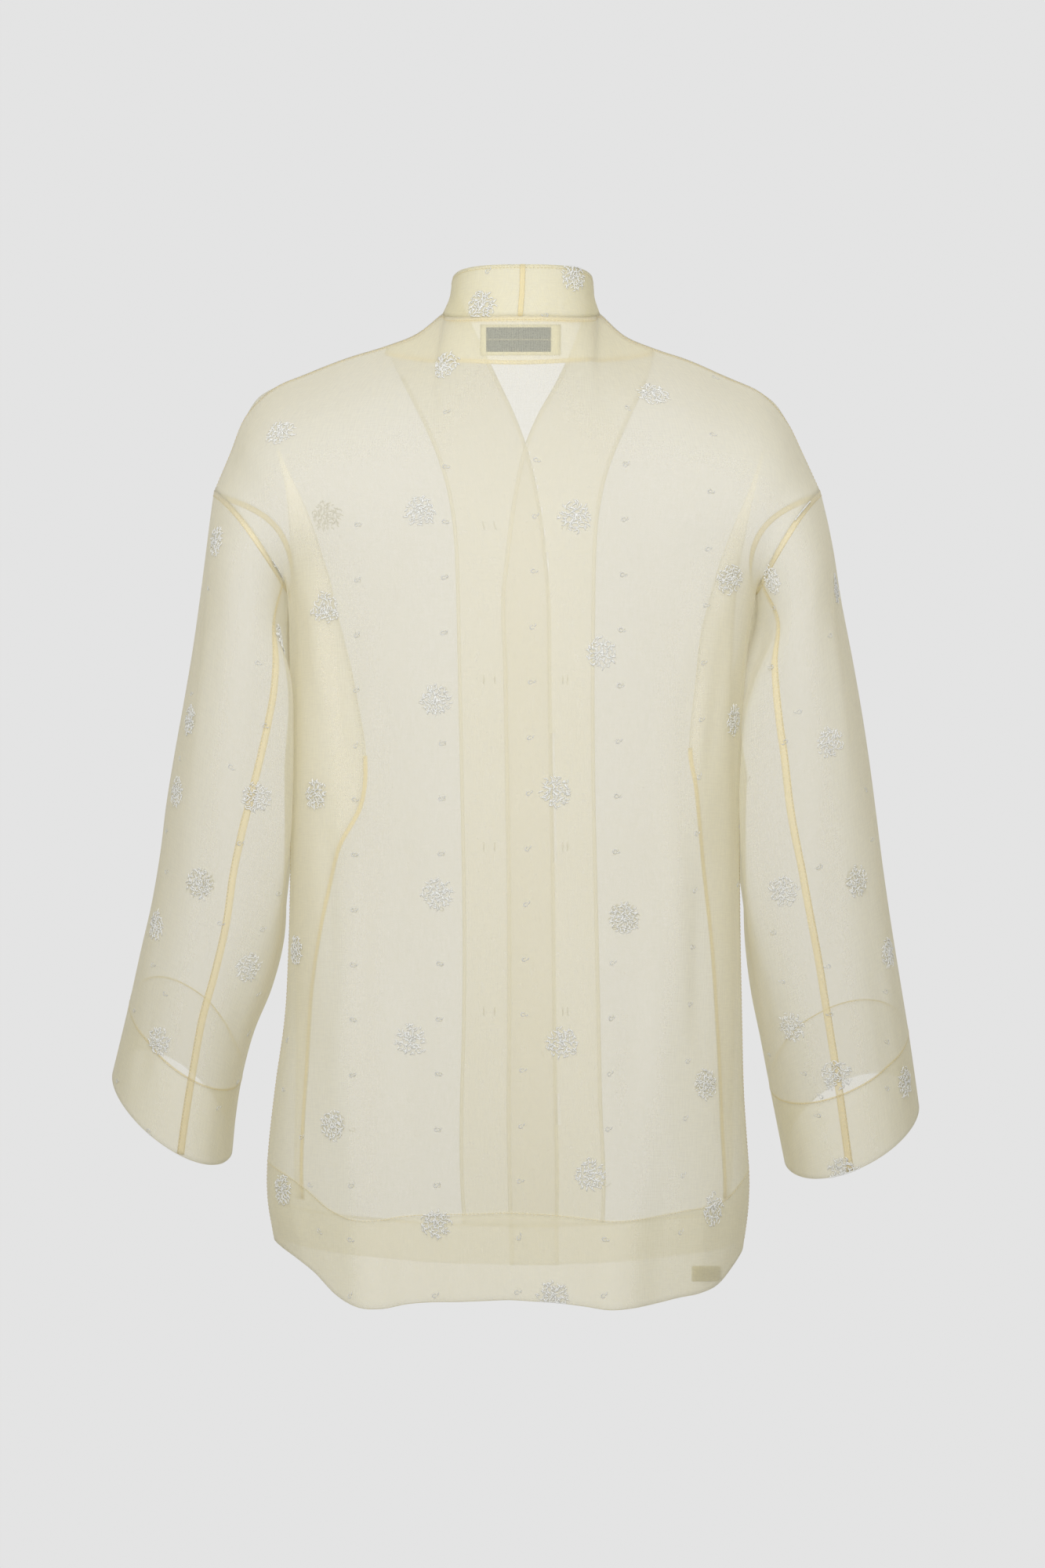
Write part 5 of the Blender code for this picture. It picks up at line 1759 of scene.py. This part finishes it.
def flower_strokes(draw):
    """Centre lines of the stitches of one flower head, flat, in metres right and down."""
    number = np.arange(FLOWER_STITCHES)
    share = np.sqrt((number + HEART_SHARE) / FLOWER_STITCHES)
    around = number * GOLDEN_TURN + draw.normal(0.0, PLACE_SPREAD, FLOWER_STITCHES)
    lobes = 1.0 + LOBE_DEPTH * np.cos(FLOWER_LOBES * around)
    reach = FLOWER_RADIUS * share * lobes - FLOWER_RIM
    turn = (around + draw.normal(0.0, TURN_SPREAD, FLOWER_STITCHES))[:, None]
    length = draw.uniform(*STROKE_LENGTHS, FLOWER_STITCHES)
    bend = draw.uniform(-1.0, 1.0, FLOWER_STITCHES) * STROKE_BEND
    along = np.linspace(-0.5, 0.5, STROKE_SECTIONS)[None]
    bow = 1.0 - 4.0 * along ** 2
    forward, aside = along * length[:, None], bend[:, None] * bow
    right = (reach * np.cos(around))[:, None] + forward * np.cos(turn) - aside * np.sin(turn)
    below = (reach * np.sin(around))[:, None] + forward * np.sin(turn) + aside * np.cos(turn)
    lift = draw.uniform(*STROKE_LIFTS, FLOWER_STITCHES)[:, None] + STROKE_ARCH * bow
    return right, below, lift


print("one flower head has", FLOWER_STITCHES, "stitches")

# %% [markdown]
# ## Sprigs
# The sprigs between the flower heads are one small loop with a dash beside it.

# %% Strokes of a sprig
# Width, height and share of the painted highlight, less than a flower's, so the sprigs are greyer.
SPRIG_SIZE = (0.00080, 0.00040, 0.45)
SPRIG_SECTIONS = 9
SPRIG_LEAN, LEAN_SPREAD = -0.3, 0.35       # radians
SPRIG_LIFT = 0.0002
LOOP_ENDS = (0.3, 2 * math.pi - 0.1)       # angles
LOOP_WIDTH, LOOP_HEIGHT, LOOP_MIDDLE = 0.0016, 0.0014, -0.0010
DASH_START, DASH_RUN, DASH_RISE, DASH_BOW = 0.0006, 0.0024, 0.0016, 0.0005


def sprig_strokes(draw):
    """The loop and the dash of one sprig."""
    lean = draw.normal(SPRIG_LEAN, LEAN_SPREAD)
    angle = np.linspace(*LOOP_ENDS, SPRIG_SECTIONS)
    loop = np.stack([np.cos(angle) * LOOP_WIDTH + LOOP_MIDDLE, np.sin(angle) * LOOP_HEIGHT])
    along = np.linspace(0.0, 1.0, SPRIG_SECTIONS)
    bow = DASH_BOW * np.sin(along * math.pi)
    dash = np.stack([DASH_START + along * DASH_RUN, DASH_START - along * DASH_RISE + bow])
    turned = np.array([[math.cos(lean), -math.sin(lean)], [math.sin(lean), math.cos(lean)]])
    strokes = np.stack([turned @ loop, turned @ dash])
    return strokes[:, 0], strokes[:, 1], np.full((2, SPRIG_SECTIONS), SPRIG_LIFT)


print("a sprig has two strokes of", SPRIG_SECTIONS, "sections")

# %% [markdown]
# ## Laying motifs on the cloth
# The strokes are flat. Each is moved to its motif's place and read off the cloth, so it bends with it.

# %% Lay motifs on the cloth
def on_cloth(cloth, rows, columns, strokes, size):
    """A bundle of threads: the strokes of each motif laid at its own place."""
    right, below, lift = (np.stack(parts) for parts in zip(*strokes))
    rows, columns = cloth.shifted(
        np.broadcast_to(rows[:, None, None], right.shape),
        np.broadcast_to(columns[:, None, None], right.shape),
        right, below,
    )
    sections = right.shape[2]
    centres = cloth.at(rows, columns, lift).reshape(-1, sections, 3)
    normals = cloth.read(cloth.normals, rows, columns).reshape(-1, sections, 3)
    return centres, normals, *size


def embroidered(name, works, seed):
    """Embroider flower heads and sprigs; works are (cloth, flowers, sprigs, near)."""
    draw = np.random.default_rng(seed)
    bundles = []
    for cloth, flowers, sprigs, near in works:
        kinds = ((flowers, flower_strokes, STROKE_SIZE), (sprigs, sprig_strokes, SPRIG_SIZE))
        for pixels, motif, size in kinds:
            strokes = [motif(draw) for _ in pixels]
            bundles.append(on_cloth(cloth, *spots(cloth, pixels, near), strokes, size))
    print(name + ":", sum(len(bundle[0]) for bundle in bundles), "stitches")
    return thread_piece(name, bundles, silver_finish)


print("motifs can be laid on the cloth")

# %% [markdown]
# ## Embroidery of the back
# The flower heads lie in loose diagonal rows, and the sprigs in columns 67 mm apart with one sprig
# about every 40 mm.

# %% Embroider the back
BACK_FLOWERS = (
    (357, 552), (537, 651), (734, 659), (416, 780), (767, 833), (932, 736), (556, 893), (936, 918),
    (709, 1010), (403, 1013), (558, 1140), (796, 1171), (378, 1212), (524, 1326), (900, 1383),
    (425, 1436), (361, 1517), (556, 1559), (910, 1542), (706, 1653), (567, 467), (833, 503),
    (717, 1330), (753, 1499),
)
# Top and end of each column in pixels, and its number of sprigs.
SPRIG_COLUMNS = (
    (457, 669, 447, 1652, 15), (570, 525, 556, 1652, 17), (685, 587, 661, 1648, 16),
    (801, 521, 771, 1652, 17), (913, 482, 869, 1571, 16),
)
BACK_SEED, FRONT_SEED, SLEEVE_SEED = 11, 21, 31
EDGE_SPRIGS = ((362, 1390), (367, 1326), (385, 1450), (396, 1512), (408, 1571), (943, 1054), (941, 1128))
FLOWER_CLEAR = 26                # pixels; a sprig that would lie nearer to a flower is left out


def sprig_column(top_x, top_y, end_x, end_y, count):
    """Pixels of the sprigs down one column."""
    share = np.linspace(0.0, 1.0, count)
    return [(top_x + (end_x - top_x) * s, top_y + (end_y - top_y) * s) for s in share]


def stands_clear(pixel):
    return min(math.dist(pixel, flower) for flower in BACK_FLOWERS) > FLOWER_CLEAR


back_sprigs = [pixel for column in SPRIG_COLUMNS for pixel in sprig_column(*column)]
back_sprigs = [pixel for pixel in back_sprigs if stands_clear(pixel)] + list(EDGE_SPRIGS)
back_work = (back, BACK_FLOWERS, back_sprigs, True)
back_embroidery = embroidered("back_embroidery", [back_work], BACK_SEED)

# %% [markdown]
# ## Embroidery of the fronts
# The fronts are worked with the same motifs. Through the back their heads can hardly be told from
# its own, so all but one of them lie behind a flower of the back. The sprigs follow its columns and
# stop short of the hem. Each collar half has one head and one sprig.

# %% Embroider the fronts
FRONT_FLOWERS = {
    "left": ((416, 658), (403, 1013), (425, 1436)),
    "right": ((932, 736), (796, 1171), (900, 1383)),
}
FRONT_SPRIG_COLUMNS = {"left": SPRIG_COLUMNS[:2], "right": SPRIG_COLUMNS[3:]}
COLLAR_WORK = {
    "left": (((614, 389),), ((623, 345),)),
    "right": (((732, 352),), ((695, 402),)),
}
for number, name in enumerate(fronts):
    columns = [sprig_column(*column)[:-2] for column in FRONT_SPRIG_COLUMNS[name]]
    sprigs = [pixel for column in columns for pixel in column]
    works = [
        (fronts[name], FRONT_FLOWERS[name], sprigs, False),
        (collars[name], *COLLAR_WORK[name], True),
    ]
    piece_name = "front_" + name + "_embroidery"
    embroidered(piece_name, works, FRONT_SEED + number)

# %% [markdown]
# ## Embroidery of the sleeves
# Both sides of a sleeve are seen at once, the far one through the near one. On the far side each
# flower lies behind one of the near side, and there are half as many sprigs.

# %% Embroider the sleeves
SLEEVE_FLOWERS = {
    "left": ((276, 690), (354, 714), (357, 815), (243, 918), (226, 1010), (327, 1017), (255, 1127),
             (199, 1180), (317, 1234), (202, 1328)),
    "right": ((1021, 642), (984, 739), (1065, 750), (1058, 946), (999, 1136), (1093, 1124), (1133, 1215),
              (1010, 1310), (1066, 1372), (1154, 1380), (1075, 1495)),
}
SLEEVE_SPRIGS = {
    "left": ((266, 751), (245, 885), (230, 968), (213, 1060), (213, 1112), (196, 1231), (172, 1289),
             (211, 1268), (150, 1379), (295, 979), (307, 1075), (282, 1178), (336, 1185), (330, 1268),
             (317, 1318), (303, 1380), (279, 1413), (361, 1062), (356, 1140), (330, 846), (339, 926),
             (190, 1444)),
    "right": ((946, 814), (987, 776), (983, 851), (1018, 908), (954, 994), (1001, 947), (986, 1189),
              (997, 1252), (1045, 1106), (1055, 1233), (1058, 1294), (1046, 1398), (1043, 1423),
              (1058, 811), (1104, 1007), (1112, 1071), (1131, 1329), (1129, 1265), (1131, 1388),
              (1025, 1369), (981, 1345)),
}
FAR_SLEEVE_FLOWERS = {"left": ((243, 918), (255, 1127)), "right": ((1065, 750), (1093, 1124))}
for number, (name, sleeve) in enumerate(sleeves.items()):
    works = [
        (sleeve, SLEEVE_FLOWERS[name], SLEEVE_SPRIGS[name], True),
        (sleeve, FAR_SLEEVE_FLOWERS[name], SLEEVE_SPRIGS[name][::2], False),
    ]
    piece_name = "sleeve_" + name + "_embroidery"
    embroidered(piece_name, works, SLEEVE_SEED + number)

# %% [markdown]
# ## Labels
# A woven label is sewn inside the back neck, with a small care label inside the right side seam. Both
# are left bare: the neck label gets two plain rows of coarser, darker ribs.

# %% Labels
LABEL_EDGES = (612, 716, 413, 452)           # left, right, top and bottom, in pixels
LABEL_ROWS_EDGES = ((620, 703, 417, 432), (620, 703, 433, 448))
SIDE_LABEL_EDGES = (885, 922, 1615, 1635)
LABEL_INSIDE = -0.0010
LABEL_ROWS_INSIDE = -0.0007
SIDE_LABEL_INSIDE = -0.0020
LABEL_POINTS, LABEL_ROWS_POINTS, SIDE_LABEL_POINTS = (21, 9), (25, 5), (9, 5)
LABEL_THICKNESS = 0.0005
LABEL_ROWS_THICKNESS = 0.0011
RIB_TONE, GRAIN_TONE, LABEL_TONE = 0.5, 1.2, 0.25
GRAIN = (900.0, 900.0)                       # noise cells a metre
LABEL_RELIEF = (0.5, 0.0003)                 # strength and depth
LABEL_ROUGHNESS, LABEL_ROUGHER = 0.65, 0.2

# Each weave's pale tone, its deep tone, and its ribs to a metre.
LABEL_GROUND = ((0.76, 0.72, 0.53, 1), (0.66, 0.62, 0.42, 1), 1400.0)
LABEL_RIBS = ((0.26, 0.28, 0.24, 1), (0.06, 0.07, 0.06, 1), 560.0)


def pixel_patch(edges, points, lift):
    """A rectangle of the picture laid on the back, with its places."""
    left, right, top, bottom = edges
    columns, rows = points
    across, down = np.meshgrid(np.linspace(left, right, columns), np.linspace(top, bottom, rows))
    found = spots(back, np.stack([across.ravel(), down.ravel()], axis=1))
    return patch(Cloth(back.at(*found, lift).reshape(rows, columns, 3)))


def label_finish(name, pale, deep, rib):
    """Close matt weave with ribs across it."""
    finish = Finish(name, Metallic=0.0, Specular_IOR_Level=0.15)
    place = finish.node("UVMap", {"uv_map": "cloth"})
    across = finish.node("SeparateXYZ", {}, {0: place})
    ribs = (across * (rib * 2 * math.pi)).wave() * 0.5 + 0.5
    grain = finish.noise(place, GRAIN)
    swing = grain - NOISE_MIDDLE
    share = (ribs * RIB_TONE + swing * GRAIN_TONE + LABEL_TONE).between(0.0, 1.0)
    roughness = LABEL_ROUGHNESS + swing * LABEL_ROUGHER
    bump = finish.bumped(ribs + grain, *LABEL_RELIEF)
    finish.feed(Base_Color=finish.mixed(share, deep, pale), Roughness=roughness, Normal=bump)
    return finish.material


def label_piece(node, patches):
    """A bare label in the place of its solid, and the size it was cut to."""
    made = cloth_piece(node + "_cloth", patches, label_ground, LABEL_THICKNESS)
    carried(made, node)
    return made, flat_size(made, *spread(patches[0][1]))


label_ground = label_finish("label ground", *LABEL_GROUND)
label_weave = label_finish("label weave", *LABEL_RIBS)
neck_patch = pixel_patch(LABEL_EDGES, LABEL_POINTS, LABEL_INSIDE)
neck_label, neck_label_cut = label_piece("neck_label", [neck_patch])
blocks = [pixel_patch(edges, LABEL_ROWS_POINTS, LABEL_ROWS_INSIDE) for edges in LABEL_ROWS_EDGES]
label_rows = cloth_piece("neck_label_ribs", blocks, label_weave, LABEL_ROWS_THICKNESS)
carried(label_rows, None)
side_patch = pixel_patch(SIDE_LABEL_EDGES, SIDE_LABEL_POINTS, SIDE_LABEL_INSIDE)
side_label, side_label_cut = label_piece("side_label", [side_patch])

# %% [markdown]
# ## Tacking threads
# The garment has no button or hook. Pairs of pale tacking stitches show down the bands of the fronts,
# where their layers are caught together. They go through the facings, so they are laid just inside.

# %% Tacking threads
TACKS = {"left": ((617, 631), (670, 867, 1080, 1290)), "right": ((718, 724), (670, 867, 1080, 1290))}
TACK_SIZE = (0.0009, 0.0004, 1.0)
TACK_HALF = 0.0035
TACK_LIFT = -0.0006
TACK_SECTIONS = 4

for name, (across, down) in TACKS.items():
    pixels = [(x, y) for x in across for y in down]
    stroke = np.linspace(-TACK_HALF, TACK_HALF, TACK_SECTIONS)[None]
    strokes = [(np.zeros_like(stroke), stroke, np.full_like(stroke, TACK_LIFT)) for _ in pixels]
    bundle = on_cloth(facings[name], *spots(facings[name], pixels, near=False), strokes, TACK_SIZE)
    thread_piece("front_" + name + "_tacks", [bundle], tack_finish)
print("tacking threads:", sum(len(a) * len(d) for a, d in TACKS.values()))

# %% [markdown]
# ## The pieces on the back
# The seams, turned edges, stitches, embroidery, tucks and tuck seams that lie on the back are
# gathered into one list.

on_back = [back_seams, back_edges, back_stitches, back_embroidery]
on_back += [*tucks.values(), *tuck_seams.values()]
for name in SIDES:
    name == "left"

# %% [markdown]
# ## Floor, backdrop and light
# The photograph has no visible floor or shadow, only an even pale grey. The floor and the world give
# off that same grey, so the cloth is lit from all round and the backdrop shows through it. One wide
# soft light stands behind the camera, so cloth that faces the camera is a little brighter than the
# backdrop and cloth seen edge on is darker.

# %% Stage and light
BACKDROP = 0.775
BACKDROP_COLOUR = (BACKDROP, BACKDROP, BACKDROP, 1.0)
FLOOR_HEIGHT = -1.45
FLOOR_HALF = 6.0
ROOM_LIGHT = (0.530, 0.520, 0.485, 1.0)
LAMP_COLOUR = (0.975, 0.985, 1.0)
LAMPS = (
    ("key", (0.10, 1.45, 0.30), (0.02, 0.0, -0.15), 1.1, 15.5),
    ("fill", (-0.3, -2.0, 0.6), (0.0, 0.0, -0.3), 1.6, 1.5),
)
TRANSPARENT_BOUNCES = 48         # layers of sheer cloth that one ray may pass
ALL_BOUNCES = 10
BOUNCES_OF_A_KIND = 8

world = bpy.data.worlds.new("backdrop")
world.use_nodes = True
nodes, links = world.node_tree.nodes, world.node_tree.links
sky = nodes["Background"]
sky.inputs["Color"].default_value = ROOM_LIGHT
seen_sky = nodes.new("ShaderNodeBackground")
seen_sky.inputs["Color"].default_value = BACKDROP_COLOUR
either = nodes.new("ShaderNodeMixShader")
links.new(nodes.new("ShaderNodeLightPath").outputs["Is Camera Ray"], either.inputs[0])
links.new(sky.outputs[0], either.inputs[1])
links.new(seen_sky.outputs[0], either.inputs[2])
links.new(either.outputs[0], nodes["World Output"].inputs["Surface"])
bpy.context.scene.world = world

corners = ((-1, -1), (1, -1), (1, 1), (-1, 1))
floor_points = np.array([[x * FLOOR_HALF, y * FLOOR_HALF, FLOOR_HEIGHT] for x, y in corners])
floor = add_mesh("floor", floor_points, np.array([[0, 1, 2, 3]]))
floor_finish = Finish("pale floor", Base_Color=(0.0, 0.0, 0.0, 1.0), Specular_IOR_Level=0.0,
                      Emission_Color=BACKDROP_COLOUR, Emission_Strength=1.0)
floor.data.materials.append(floor_finish.material)
floor.visible_diffuse = False
floor.visible_glossy = False
floor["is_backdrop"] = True


def soft_light(name, place, aim, size, power):
    """A wide soft light, a trace cooler than the room, that the camera doesn't see."""
    lamp = bpy.data.lights.new(name, "AREA")
    lamp.color = LAMP_COLOUR
    lamp.shape = "DISK"
    lamp.size = size
    lamp.energy = power
    made = bpy.data.objects.new(name, lamp)
    bpy.context.scene.collection.objects.link(made)
    made.location = place
    made.rotation_euler = (Vector(aim) - Vector(place)).to_track_quat("-Z", "Y").to_euler()
    made.visible_camera = False


for lamp in LAMPS:
    soft_light(*lamp)
scene = bpy.context.scene
scene.view_settings.view_transform = "Standard"
scene.cycles.transparent_max_bounces = TRANSPARENT_BOUNCES
scene.cycles.max_bounces = ALL_BOUNCES
scene.cycles.diffuse_bounces = BOUNCES_OF_A_KIND
scene.cycles.transmission_bounces = BOUNCES_OF_A_KIND
print("stage ready with", len(LAMPS), "lamps")

# %% [markdown]
# ## Measure and finish
# The sizes of the CAD frame and of the dressed part are printed side by side. The dressed part has to
# keep the size of its CAD frame.

# %% Sizes and the end
VISUAL_BOX = [list(corner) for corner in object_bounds()]
for label, box in (("CAD", CAD_BOX), ("visual", VISUAL_BOX)):
    print(label, "size in mm:", [round((high - low) * 1000, 1) for low, high in zip(*box)])
